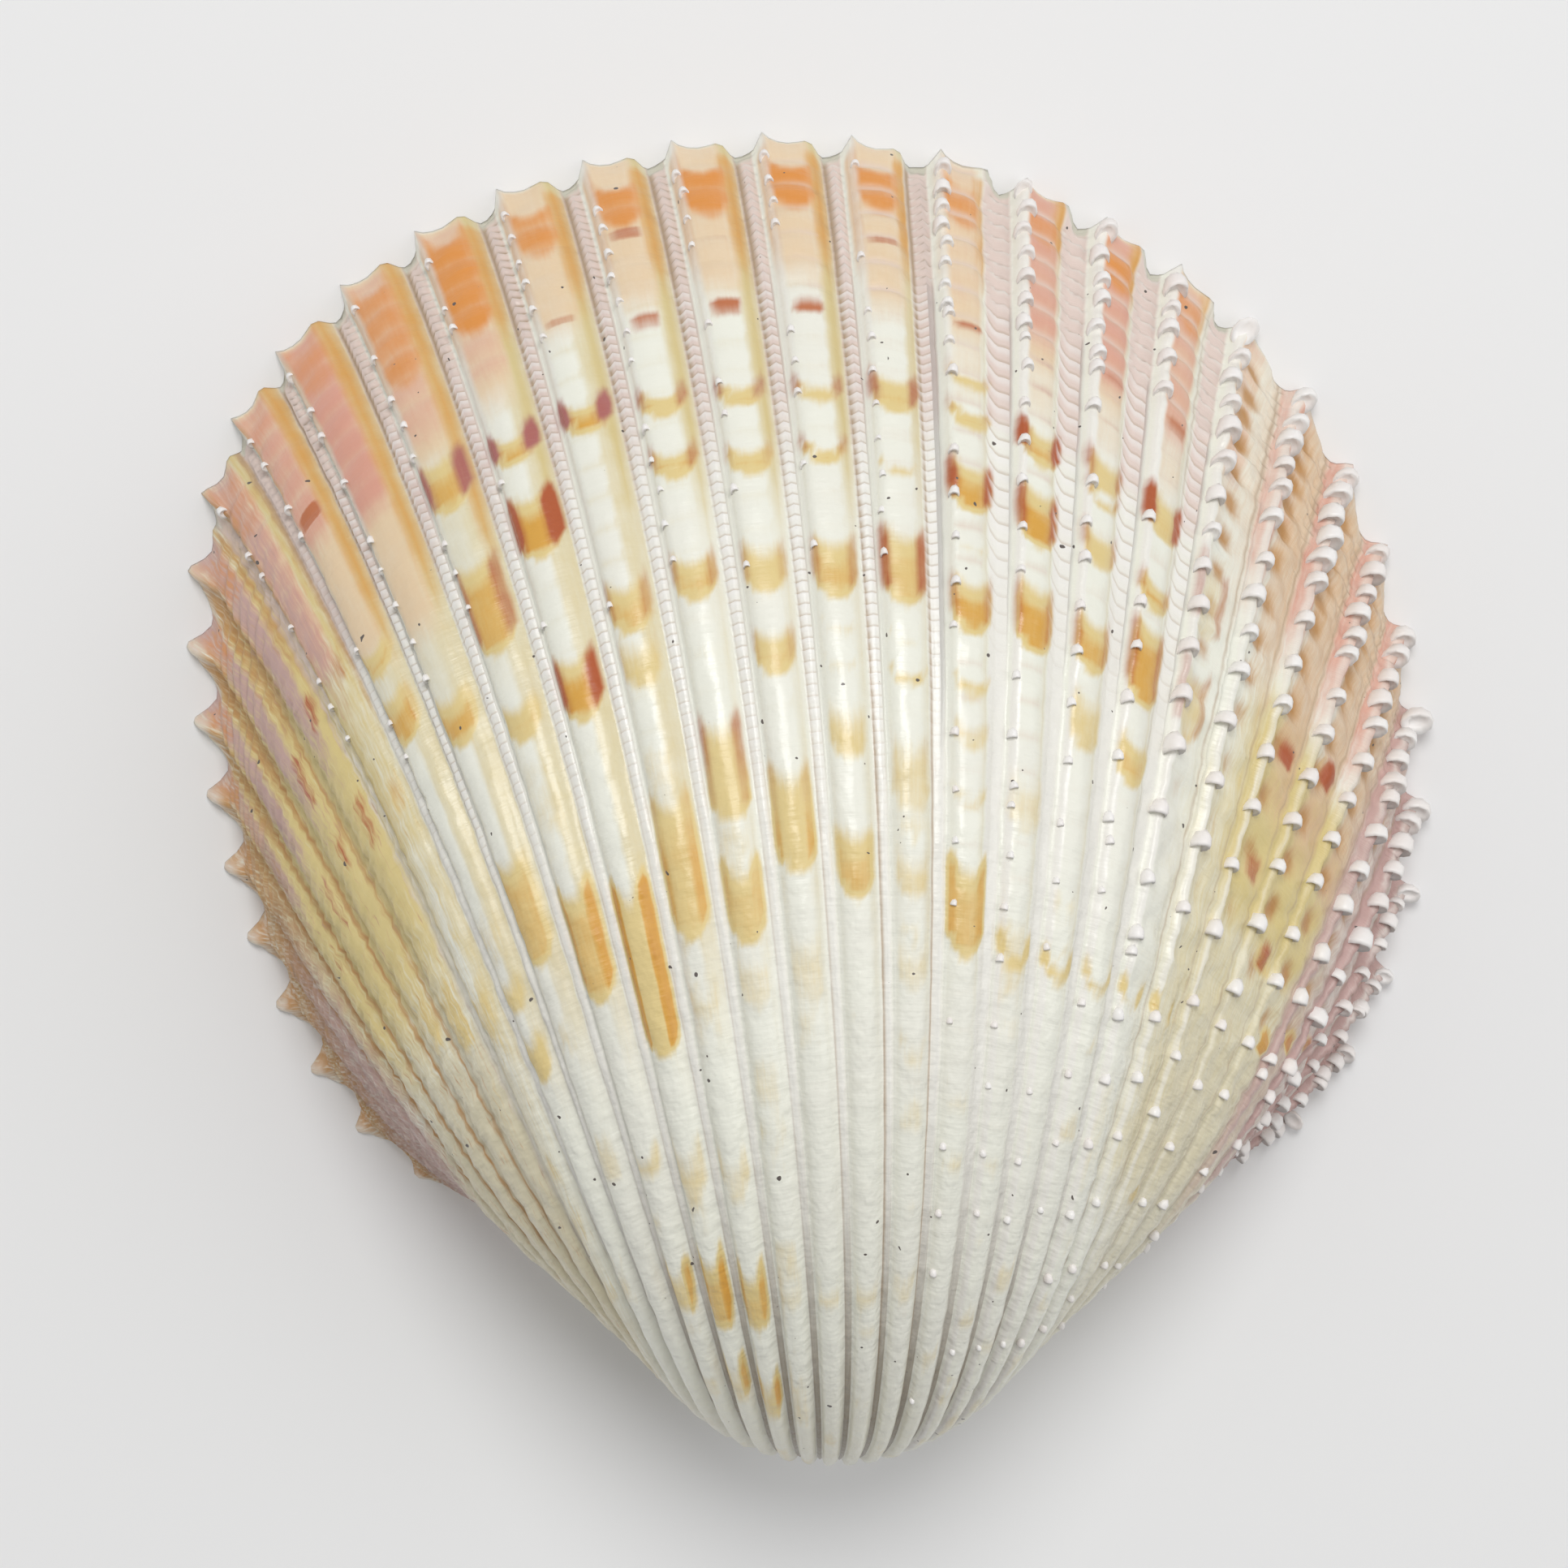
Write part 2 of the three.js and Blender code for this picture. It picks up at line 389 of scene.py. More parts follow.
def outside(place, growth, lift=0.0):
    """Points on the ribbed outside, raised by lift metres, with the outward direction."""
    x, y, dx, dy = margin_at(along_at(place))
    turn = turn_at(growth)
    base = skin(x, y, turn)
    beside = skin(x + dx * OUTWARD_STEP, y + dy * OUTWARD_STEP, turn) - base
    behind = skin(x, y, turn + 1e-3) - base
    normal = np.cross(behind, beside)
    normal /= np.linalg.norm(normal, axis=-1, keepdims=True) + 1e-30
    sideways = np.stack(np.broadcast_arrays(-dy, dx, 0 * turn), axis=-1)
    swing = smoothstep(growth, 0, RIM_ROUND)[..., None]
    out = sideways * (1 - swing) + normal * swing
    out /= np.linalg.norm(out, axis=-1, keepdims=True) + 1e-30
    size = np.exp(-GROWTH * turn) * closing(turn, BEAK_START, BEAK_TURN)
    rise = (rib_rise(place, growth) * RIB_HEIGHT + growth_marks(place, growth)) * size
    return base + out * (rise + lift)[..., None], out


# %% [markdown]
# ## The inside
#
# The hollow side can't be seen when the valve lies like this, but a reusable part is picked
# up and turned over. So the inside is modelled from what cockles have: a smooth bowl with a
# crenulated edge that mirrors the ribs, two shallow muscle scars, and a thick plate under the
# beak that carries the hinge. It follows the same growth rule, a wall's thickness in.

# %% The inside surface
WALL, RIM_WALL = 2.3 * MM, 1.5 * MM
HOLLOW_CENTRE, HOLLOW_RADIUS = 26 * MM, 24 * MM
HOLLOW_TURN, HOLLOW_CLOSE = 2.15, 1.3
HINGE_PLATE, HINGE_LIFT = 2.4 * MM, 0.9 * MM
FURROW = 0.5 * MM
FURROW_LENGTH = 0.17  # the furrows fade over this turn
SCAR_DEPTH = 0.12 * MM
SCARS = [(7.5, 0.42), (31.0, 0.42)]  # rib place and turn of the two muscle scars
SCAR_SIZE = (2.4, 0.13)


def scar_share(place, turn):
    """1 in the middle of a muscle scar, 0 outside both."""
    share = 0
    for scar_place, scar_turn in SCARS:
        far = np.hypot((place - scar_place) / SCAR_SIZE[0], (turn - scar_turn) / SCAR_SIZE[1])
        share = np.maximum(share, 1 - smoothstep(far, 0.8, 1.1))
    return share


def inside(x, y, place, turn):
    """Points on the hollow side. Off the ribbed margin, place is outside the ribs."""
    wall = RIM_WALL + (WALL - RIM_WALL) * smoothstep(turn, 0, 0.3)
    furrow = across(MIDDLE_RIB, place) * ends_fade(place) * (1 - smoothstep(turn, 0, FURROW_LENGTH))
    scar = scar_share(place, turn) * SCAR_DEPTH
    thick = (wall - furrow * FURROW - scar) * np.exp(GROWTH * turn) / HOLLOW_RADIUS
    opening = closing(turn, HOLLOW_CLOSE, HOLLOW_TURN) * (1 - thick)
    near_hinge = 1 - smoothstep(y, 0, 12 * MM)
    depth = HOLLOW_CENTRE + (y - HOLLOW_CENTRE) * opening + HINGE_PLATE * near_hinge * opening
    points = grown(x * widening(y, turn) * opening, depth, turn)
    middle = 1 - smoothstep(y, HINGE_GROOVE, 6 * MM)
    points[..., 2] += HINGE_LIFT * middle * opening
    return points


# %% [markdown]
# ## The valve as one closed mesh
#
# A single grid is bent into the whole valve. Its columns are the places round the margin, its
# rows are growth lines: from the tip of the beak down the outside to the margin, over the
# rim, and up the inside. The rows lie close together near the margin, where the rope of
# plates has to be real geometry, and further apart on the old, worn part. Merging doubles
# closes the seam and both poles.

# %% Rows and columns of the grid
NEAR_TO, MID_TO = 8.6 * MM, 40 * MM
near_rows = np.arange(0, NEAR_TO, PLATE / 4)
middle_rows = np.linspace(NEAR_TO, MID_TO, 66)
beak_start_growth = FULL_PATH * (1 - math.exp(-GROWTH * BEAK_START))
old_rows = np.linspace(MID_TO, beak_start_growth, 27)[1:]
beak_turns = BEAK_START + (BEAK_TURN - BEAK_START) * np.sin(np.linspace(0, math.pi / 2, 13)[1:])
beak_rows = FULL_PATH * (1 - np.exp(-GROWTH * beak_turns))
outer_growth = np.concatenate([near_rows, middle_rows, old_rows, beak_rows])
inner_turn = HOLLOW_TURN * np.linspace(0, 1, 18) ** 1.35

rib_places = (np.arange(RIBS)[:, None] + np.array(ACROSS)).ravel()
first_places = -RIB_END / FLANK_PITCH * np.linspace(1, 0, END_STATIONS, endpoint=False)
last_places = RIBS + RIB_END / wide_pitch * np.linspace(0, 1, END_STATIONS + 1)
places = np.concatenate([first_places, rib_places, last_places])
hinge_x = np.linspace(MARGIN[-1, 0], MARGIN[0, 0], HINGE_STATIONS + 2)[1:-1]
columns = len(places) + HINGE_STATIONS
rows = len(outer_growth) + len(inner_turn)
print(f"grid: {columns} columns, {rows} rows, {2 * columns * (rows - 1)} triangles at most")

# %% Points of the grid
ribbed, _ = outside(places[None, :], outer_growth[::-1][:, None])
back_wall = skin(hinge_x[None, :], HINGE_GROOVE, turn_at(outer_growth[::-1])[:, None])
outer_points = np.concatenate([ribbed, back_wall], axis=1)

margin_x, margin_y, _, _ = margin_at(along_at(places))
ring_x = np.concatenate([margin_x, hinge_x])
ring_y = np.concatenate([margin_y, np.full(HINGE_STATIONS, HINGE_GROOVE)])
ring_place = np.concatenate([places, np.full(HINGE_STATIONS, RIBS + 1.0)])
inner_points = inside(ring_x[None, :], ring_y[None, :], ring_place[None, :], inner_turn[:, None])
points = np.concatenate([outer_points, inner_points])
points[..., 2] = np.maximum(points[..., 2], 0)

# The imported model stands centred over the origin, which says where the hinge axis lies.
plain_low, plain_high = outer_points.min(axis=(0, 1)), outer_points.max(axis=(0, 1))
node_low, node_high = (np.array(corner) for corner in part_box(NODE))
shift = (node_low + node_high - plain_low - plain_high) / 2
shift[2] = 0
print("hinge axis in the frame, mm:", np.round(shift / MM, 2))

# %% Bend the grid into the valve
WELD = 1e-6


def grid_places(builder, across_count, row_count):
    """Row and column number of every vertex of a grid, read from where it lies."""
    flat = np.array([vertex.co[:2] for vertex in builder.verts])
    low, high = flat.min(axis=0), flat.max(axis=0)
    share = (flat - low) / (high - low)
    return np.rint(share * [across_count, row_count]).astype(int)


def set_layer(builder, layers, name, values):
    layer = layers.new(name)
    for vertex, value in zip(builder.verts, values):
        vertex[layer] = float(value)


def finished(name, builder):
    """The bmesh as an object in the scene, smooth shaded."""
    mesh = bpy.data.meshes.new(name)
    builder.to_mesh(mesh)
    builder.free()
    mesh.shade_smooth()
    piece = bpy.data.objects.new(name, mesh)
    bpy.context.scene.collection.objects.link(piece)
    return piece


builder = bmesh.new()
bmesh.ops.create_grid(builder, x_segments=columns, y_segments=rows - 1, size=1)
grid_index = grid_places(builder, columns, rows - 1)
column_index, row_index = grid_index[:, 0] % columns, grid_index[:, 1]
for vertex, place in zip(builder.verts, points[row_index, column_index] + shift):
    vertex.co = place

# %% [markdown]
# ## Pigment
#
# The animal colours its shell only at the growing edge, so each rib is a record in time. Near
# the margin are wide zones of orange, peach and rose. Further back the ribs are ivory, with
# short ochre bars whose sides are stained rust or plum. The bars of neighbouring ribs lie on
# nearly the same ring. Each pigment is kept as a number on every vertex, from how far back
# the ring is and where across the rib the vertex lies. Painted shade is kept the same way: in
# the creases of the rib tops, along the edges of the grooves, between the plates of the rope
# and in the grooves near the beak; so is a painted highlight on the plate tops. The material
# then lays one over another with ragged edges. Painting in this way needs no picture and no
# unwrapping.

# %% Bars on the ribs
# For each rib, counted from the middle one: where a bar starts and its length, in millimetres
# back from the margin, and how strong its ochre, rust and plum are.
BARS = {
    -12: [(21.0, 1.6, 0.0, 0.5, 0.4)],
    -11: [(19.5, 3.0, 0.1, 0.5, 0.5)],
    -10: [(13.8, 3.0, 0.0, 0.9, 0.5), (19.8, 1.6, 0.2, 0.9, 0.0), (30.5, 3.0, 0.3, 0.5, 0.0)],
    -9: [(13.6, 1.6, 0.0, 0.9, 0.3), (20.4, 2.4, 0.2, 0.9, 0.0), (31.5, 3.5, 0.5, 0.4, 0.0)],
    -8: [(14.8, 1.2, 0.2, 0.8, 0.3), (22.0, 1.6, 0.4, 0.5, 0.0), (33.0, 2.4, 0.4, 0.3, 0.0)],
    -7: [(16.6, 1.0, 0.9, 0.3, 0.0), (19.4, 1.9, 1.0, 0.3, 0.0), (31.0, 1.2, 0.3, 0.0, 0.0),
         (34.0, 1.4, 0.5, 0.0, 0.0), (37.0, 1.8, 0.7, 0.1, 0.0)],
    -6: [(21.8, 1.7, 1.0, 0.2, 0.0), (29.8, 4.2, 0.9, 0.3, 0.0), (43.2, 1.3, 0.3, 0.0, 0.0)],
    -5: [(11.9, 2.0, 1.0, 0.3, 0.9), (17.4, 3.6, 1.0, 0.5, 0.5), (23.9, 1.2, 0.8, 0.1, 0.0),
         (32.4, 4.2, 0.9, 0.7, 0.2), (43.8, 1.0, 0.4, 0.2, 0.0), (49.6, 1.9, 0.5, 0.6, 0.0)],
    -4: [(12.7, 0.9, 1.0, 0.3, 1.2), (16.0, 2.1, 1.2, 1.3, 0.4), (23.5, 1.9, 1.2, 1.0, 0.0),
         (33.2, 6.4, 0.65, 1.0, 0.1), (44.0, 2.0, 0.4, 0.2, 0.0), (49.3, 3.0, 0.9, 0.7, 0.0),
         (55.0, 2.0, 0.4, 0.6, 0.0)],
    -3: [(12.7, 0.9, 1.1, 0.3, 1.2), (21.2, 1.5, 0.9, 0.5, 0.0), (23.6, 1.6, 0.5, 0.2, 0.0),
         (30.2, 5.0, 0.8, 0.6, 0.0), (37.4, 1.1, 0.3, 0.0, 0.0), (44.5, 1.6, 0.3, 0.2, 0.0),
         (50.0, 2.4, 0.8, 0.6, 0.0), (56.0, 2.0, 0.5, 0.7, 0.0)],
    -2: [(13.2, 0.7, 0.9, 0.5, 0.5), (16.0, 0.8, 0.9, 0.6, 0.1), (20.8, 1.3, 0.9, 0.5, 0.0),
         (27.6, 3.5, 0.6, 0.7, 0.0), (33.4, 2.4, 0.8, 0.5, 0.0), (36.5, 2.0, 0.3, 0.0, 0.0),
         (43.4, 0.7, 0.3, 0.0, 0.0), (50.0, 1.6, 0.3, 0.1, 0.0)],
    -1: [(13.4, 0.7, 0.8, 0.4, 0.6), (16.4, 0.8, 0.8, 0.4, 0.1), (20.8, 1.5, 0.7, 0.4, 0.0),
         (24.4, 1.2, 0.8, 0.4, 0.0), (29.9, 3.5, 0.6, 0.6, 0.0), (36.1, 2.4, 0.3, 0.0, 0.0),
         (50.4, 1.2, 0.3, 0.0, 0.0)],
    0: [(13.5, 0.7, 0.6, 0.5, 0.5), (16.4, 0.5, 0.8, 0.6, 0.1), (20.8, 1.8, 0.9, 0.5, 0.0),
        (23.8, 0.5, 0.3, 0.0, 0.0), (25.3, 0.4, 0.3, 0.0, 0.0), (27.5, 1.7, 0.5, 0.1, 0.0),
        (32.5, 1.9, 0.9, 0.3, 0.0), (50.3, 1.2, 0.3, 0.0, 0.0)],
    1: [(13.2, 1.2, 0.8, 0.6, 0.5), (17.0, 0.4, 0.5, 0.1, 0.0), (20.4, 2.4, 0.85, 0.8, 0.0),
        (24.3, 0.3, 0.3, 0.0, 0.0), (25.8, 0.4, 0.6, 0.1, 0.0), (28.6, 2.6, 0.4, 0.3, 0.0),
        (33.1, 1.4, 0.4, 0.1, 0.0), (36.5, 1.6, 0.3, 0.0, 0.0), (40.0, 1.0, 0.3, 0.0, 0.0),
        (49.8, 1.3, 0.3, 0.0, 0.0)],
    2: [(12.2, 0.5, 0.7, 0.4, 0.0), (14.0, 0.6, 0.8, 0.4, 0.2), (16.9, 1.5, 1.1, 0.9, 0.1),
        (20.0, 0.4, 0.3, 0.0, 0.0), (22.1, 1.5, 1.1, 0.5, 0.0), (25.8, 0.5, 0.6, 0.2, 0.0),
        (27.6, 0.9, 0.4, 0.2, 0.0), (30.3, 0.5, 0.4, 0.2, 0.0), (33.6, 2.9, 0.9, 0.6, 0.0),
        (42.0, 0.8, 0.2, 0.0, 0.0)],
    3: [(14.1, 1.1, 1.0, 1.1, 0.0), (17.2, 1.8, 1.2, 0.8, 0.0), (21.5, 2.2, 1.1, 0.5, 0.0),
        (29.2, 2.2, 0.3, 0.2, 0.0), (36.2, 0.6, 0.6, 0.4, 0.0)],
    4: [(13.8, 1.2, 0.7, 0.6, 0.2), (15.4, 0.5, 0.6, 0.5, 0.0), (17.5, 1.2, 0.7, 0.5, 0.0),
        (21.8, 1.7, 1.0, 0.5, 0.0), (25.0, 2.1, 0.5, 0.1, 0.0), (36.4, 0.6, 0.6, 0.4, 0.0)],
    5: [(13.9, 1.6, 0.8, 1.1, 0.3), (18.2, 0.9, 1.0, 0.5, 0.0), (20.6, 3.1, 1.1, 0.6, 0.0),
        (26.0, 1.4, 0.9, 0.2, 0.0), (36.4, 0.6, 0.5, 0.3, 0.0)],
    6: [(15.0, 3.4, 0.3, 0.5, 0.3), (20.6, 3.2, 0.4, 0.5, 0.0), (36.4, 0.6, 0.3, 0.4, 0.0)],
    7: [(36.2, 0.6, 0.2, 0.5, 0.0)],
    8: [(18.6, 0.9, 0.0, 1.1, 0.0), (25.5, 1.4, 0.5, 0.7, 0.0), (45.6, 0.8, 0.2, 0.4, 0.0)],
    9: [(15.8, 1.2, 0.3, 1.2, 0.0), (28.8, 1.4, 0.5, 1.1, 0.0)],
    10: [(32.6, 1.3, 0.1, 0.9, 0.0)],
    11: [(30.0, 1.1, 0.4, 1.1, 0.0)],
    12: [(26.4, 1.0, 0.5, 0.7, 0.0)],
    13: [(21.4, 1.6, 0.1, 0.9, 0.0)],
}
# Thin red lines further forward: rib, distance back from the margin, length and strength.
LINES = [
    (-7, 7.7, 0.7, 1.3), (-4, 9.1, 0.35, 0.25), (-3, 7.85, 0.25, 0.6), (-2, 4.1, 0.55, 0.75),
    (-2, 9.1, 0.4, 0.9), (-1, 5.4, 0.3, 0.3), (-1, 9.05, 0.45, 1.0), (0, 9.2, 0.4, 1.0),
    (1, 5.5, 0.35, 0.7), (1, 9.6, 0.4, 0.25), (2, 9.3, 0.5, 0.9), (3, 9.9, 0.3, 0.4),
    (3, 11.2, 0.35, 0.4), (4, 8.7, 0.6, 0.6), (4, 11.2, 0.4, 0.4), (5, 8.8, 0.7, 0.8),
]
BAR_FROM, BAR_TO = 0.1, 0.6  # the bar covers this share of the rib
SHARP, SOFT = 0.5 * MM, 1.5 * MM  # its edge towards the beak is sharp, the other one fades
SAG = 0.55 * MM  # the middle of a bar hangs back by this
SIDES = [(0.03, 0.1), (0.58, 0.68)]  # the stain lies on both sides of the bar
SIDE_AHEAD = 0.9 * MM


def ramp(value, start, fade_in, end, fade_out):
    """1 from start to end, falling to 0 over fade_in before it and fade_out after it."""
    rising = np.clip((value - start) / fade_in + 1, 0, 1)
    falling = np.clip((end - value) / fade_out + 1, 0, 1)
    return np.minimum(rising, falling)


def sagged(place, growth, depth):
    """Growth bent so that a mark hangs back, by depth, in the middle of the rib top."""
    share = place - np.floor(place)
    return growth + depth * np.minimum(((share - 0.36) / 0.28) ** 2 - 0.3, 1)


def bars(place, growth):
    """Ochre, rust, plum and red of all the bars and lines."""
    share = place - np.floor(place)
    rib = np.floor(place).astype(int) - CENTRE_RIB
    back = sagged(place, growth, SAG * (1 - smoothstep(rib, 6, 8)))
    ochre, rust, plum, red = (np.zeros(np.shape(place)) for _ in range(4))
    right = smoothstep(rib, 5.5, 7.5) * 0.3
    middle = ramp(share, BAR_FROM + right, 0.08, BAR_TO + right, 0.13)
    side = np.maximum(ramp(share, SIDES[0][0], 0.06, SIDES[0][1], 0.12),
                      ramp(share, SIDES[1][0], 0.14, SIDES[1][1], 0.08))
    streak = ramp(share, 0.52, 0.1, 0.6, 0.1)
    flank = smoothstep(-rib, 7, 8)
    side = side * (1 - flank) + 0.75 * streak * flank
    spot = ramp(share, 0.52, 0.1, 0.74, 0.12)
    side = side * (1 - smoothstep(rib, 7, 8)) + spot * smoothstep(rib, 7, 8)
    for number, found in BARS.items():
        here = rib == number
        for start, length, ochre_share, rust_share, plum_share in found:
            start, end = start * MM, (start + length) * MM
            fade = min(SOFT, 0.9 * length * MM)
            bar = ramp(back, start + fade * 0.4, fade, end - SHARP / 2, SHARP) * middle
            stain = ramp(back, start, SIDE_AHEAD, end - 0.3 * MM, 0.5 * MM) * side
            ochre = np.where(here, np.maximum(ochre, bar * ochre_share), ochre)
            rust = np.where(here, np.maximum(rust, stain * rust_share), rust)
            plum = np.where(here, np.maximum(plum, stain * plum_share), plum)
    core = ramp(share, 0.2, 0.08, 0.5, 0.1)
    for number, start, length, strength in LINES:
        line = ramp(growth, start * MM, 0.2 * MM, (start + length) * MM, 0.2 * MM) * core
        red = np.where(rib == number, np.maximum(red, line * strength), red)
    return ochre, rust, plum, red


# %% Zones near the margin
# Where the orange, rose and peach zones start and end, in millimetres back from the margin,
# and how strong the orange and rose are, on ribs counted from the middle one.
ZONE_RIBS = [-12, -10, -8, -7, -6, -5, -4, -3, -2, -1, 0, 1, 2, 3, 4, 5, 6, 8]
ORANGE_FROM = [0.5, 0.5, 0.5, 0.5, 0.6, 1.0, 1.0, 1.7, 1.7, 1.7, 1.7, 1.6, 1.6, 1.6, 1.3, 0.9, 0.9, 0]
ORANGE_TO = [3.0, 3.5, 4.0, 2.0, 3.0, 6.5, 6.0, 3.6, 3.4, 3.6, 3.5, 3.4, 3.4, 2.8, 3.0, 2.6, 2.0, 0]
ORANGE_MUCH = [0.5, 0.5, 0.4, 0.3, 0.5, 0.7, 0.95, 0.8, 0.9, 1, 0.95, 0.85, 0.75, 0.6, 0.9, 0.6, 0.3, 0]
ROSE_TO = [0, 8, 14, 9, 10.5, 9.5, 8.6, 3, 3, 3, 3, 5, 8, 8.5, 9, 9.6, 9, 8]
ROSE_MUCH = [0, 0.3, 0.7, 0.75, 0.95, 0.6, 0.5, 0.1, 0.1, 0, 0, 0.1, 0.25, 0.75, 0.8, 0.65, 0.45, 0.3]
PEACH_TO = [0, 0, 12, 16, 17, 10.5, 9.5, 7.5, 7.5, 7.5, 7.0, 8.5, 9.5, 10, 10, 9, 8, 0]


def by_rib(place, values):
    return np.interp(np.floor(place) - CENTRE_RIB, ZONE_RIBS, values)


def pigments(place, growth):
    """Every pigment of the outside, with the painted shade and painted highlight, from 0 to 1, by name.
    """
    # Which parts of a rib: its top, the slope and foot beside it, the groove and the crest.
    share = place - np.floor(place)
    number = rib_number(place)
    back = growth / MM
    bent = sagged(place, growth, 1.1 * MM) / MM
    left = 1 - smoothstep(number, -10, -7)
    right = smoothstep(number, 5.6, 7.5)
    middle = 1 - left - right
    wide = smoothstep(number, 1.4, 2.4) * (1 - right)
    top = ramp(share, 0.11, 0.05, 0.56 - 0.04 * wide, 0.08)
    slope = ramp(share, 0.6 - 0.08 * wide, 0.07, 0.72 - 0.1 * wide, 0.05)
    foot = ramp(share, 0.03, 0.04, 0.1, 0.06)
    groove_from = by_side(place, 0.7, 0.79 - 0.17 * wide, 0.9)
    groove = ramp(share, groove_from, 0.04, 0.99, 0.03)
    crest = ramp(share, 0.03, 0.03, 0.13 - 0.04 * smoothstep(number, 6, 9), 0.05)
    # Painted shade: a dark line along both edges of the groove.
    groove_line_shade = np.maximum(ramp(share, groove_from - 0.02, 0.03, groove_from, 0.03),
                      ramp(share, 0.985, 0.03, 1.0, 0.02))
    ochre, rust, plum, red = bars(place, growth)
    rim = 1 - smoothstep(back, 0.2, 0.8)

    # The wide zones near the margin.
    orange_on = ramp(bent, by_rib(place, ORANGE_FROM), 0.7, by_rib(place, ORANGE_TO), 0.9)
    waves = 0.75 + 0.25 * ripple(place, growth)
    orange = orange_on * top * by_rib(place, ORANGE_MUCH) * waves
    sides = np.maximum(slope, foot * (1 - smoothstep(number, 1, 3))) * (1 - rim)
    amber = sides * (1 - smoothstep(back, 5, 9.5)) * ramp(number, -6.5, 1, 2.4, 2)
    long_amber = slope * ramp(number, -6.9, 0.6, -4.1, 0.6) * (1 - smoothstep(back, 13, 21))
    hot_left = left * (1 - top) * (1 - smoothstep(back, 2, 8)) * smoothstep(number, -13, -8)
    orange_edge = slope * smoothstep(number, 2.8, 3.2) * (1 - smoothstep(number, 5, 6.5))
    orange_edge = orange_edge * (1 - smoothstep(back, 2, 5))
    amber = np.maximum.reduce([0.85 * amber, 0.75 * long_amber, 0.8 * hot_left, orange_edge])
    rose_on = by_rib(place, ROSE_MUCH) * ramp(back, 0.5, 0.5, by_rib(place, ROSE_TO), 1.8)
    rose = rose_on * (top * (1 - right) + right * ramp(share, 0.12, 0.1, 0.4, 0.2)) * waves
    peach = 0.8 * top * ramp(back, 0.2, 0.3, by_rib(place, PEACH_TO), 2.5) * (1 - right)
    peach = np.maximum(peach, 0.5 * top * wide * (1 - smoothstep(back, 12, 15)))

    # Yellow on the slopes, faint patches and painted shade in the creases between the ripples.
    straw_and_shade = slope * (1 - smoothstep(back, 13, 25)) * (1 - smoothstep(number, 1, 3)) * (1 - left)
    straw_and_shade = np.maximum(straw_and_shade, 0.4 * slope * (1 - smoothstep(back, 34, 46)) * (1 - right))
    far_straw = ramp(share, 0.5, 0.1, 0.74, 0.04) * ramp(number, -8, 1, -2.5, 1.5)
    straw_and_shade = np.maximum(straw_and_shade, 0.65 * far_straw * (1 - smoothstep(back, 32, 46)))
    creamy = top * ramp(number, -6.9, 0.5, -4.1, 0.5) * ramp(back, 9, 4, 20, 5)
    patches = lumps(np.floor(place) * 1.37, growth, 0.4) + 0.3 * lumps(place, growth, 1.7)
    faint = 0.3 * top * smoothstep(patches, 0.1, 0.8) * smoothstep(back, 20, 30) * middle
    # Painted shade in the creases between the ripples of the rib tops, laid in with straw and lilac.
    crease_shade = top * (1 - ripple(place, growth)) * (1 - 0.5 * smoothstep(back, 16, 40))
    pale_crease_shade = 0.4 * crease_shade * smoothstep(number, -9, -1)
    tan_crease_shade = 0.62 * crease_shade * smoothstep(number, -1, 1) * middle
    straw_and_shade = np.maximum.reduce([straw_and_shade, 0.45 * creamy, pale_crease_shade])

    # The two flanks: olive, then the dull old part, mauve, tan and brown.
    far_left = 1 - smoothstep(number, -8.1, -6.9)
    olive_left = far_left * ramp(back, 5, 8, 26 - 6 * smoothstep(number, -9, -7), 16)
    olive_left = olive_left * (1 - 0.5 * smoothstep(-number, 11, 14))
    yellow = ramp(number, 8.2, 1.2, 10.6, 0.8) * ramp(back, 19, 5, 27, 7)
    sallow = ramp(number, 7.5, 1.5, 11.5, 1) * ramp(back, 24, 6, 44, 6)
    olive = np.maximum.reduce([olive_left, yellow, 0.55 * sallow])
    old_left = (1 - smoothstep(number, -8.5, -6.5)) * smoothstep(back, 26, 40)
    old = np.maximum(old_left, 0.65 * smoothstep(number, 6.5, 9) * smoothstep(back, 26, 42))
    old = np.maximum(old, 0.4 * smoothstep(back, 48, 62))

    ridge = ramp(share, 0.22, 0.12, 0.5, 0.15)
    mauve_left = far_left * ridge * (1 - smoothstep(back, 12, 22)) * smoothstep(number, -14.5, -11)
    low_left = (1 - smoothstep(number, -13.5, -11)) * ramp(back, 10, 8, 34, 12)
    mauve_right = smoothstep(number, 10, 11.5) * (1 - smoothstep(back, 34, 56))
    mauve_right = mauve_right * (0.55 + 0.45 * (1 - ramp(share, 0.3, 0.1, 0.8, 0.1)))
    pink_right = right * (1 - ramp(share, 0.3, 0.1, 0.85, 0.08)) * (1 - smoothstep(back, 9, 20))
    mauve = np.maximum.reduce([mauve_left * 0.8, low_left * 0.75, mauve_right])
    hollow = 1.15 * pits(place, growth) * (1 - 0.4 * smoothstep(number, 10.5, 13))
    hollow = hollow * (1 - smoothstep(back, 8 + 20 * smoothstep(number, 7, 10), 38))
    tan = right * ramp(share, 0.35, 0.15, 0.92, 0.08) * (1 - smoothstep(number, 10.5, 12.5))
    tan = tan * (1 - smoothstep(back, 7 + 13 * smoothstep(number, 7, 9), 26))
    tan = tan * (0.7 + 0.3 * hollow)
    brown_left = far_left * (1 - ridge) * ramp(back, 1, 1, 9, 6) * 0.65
    lined = ramp(share, groove_from, 0.05, groove_from + 0.05, 0.05) * left
    lined = lined * ramp(back, 10, 6, 45, 12)
    umber_left = (1 - smoothstep(number, -12.5, -10.5)) * (1 - smoothstep(back, 8, 24))
    brown = np.maximum.reduce([hollow, brown_left, lined * 0.8, umber_left * 0.6])
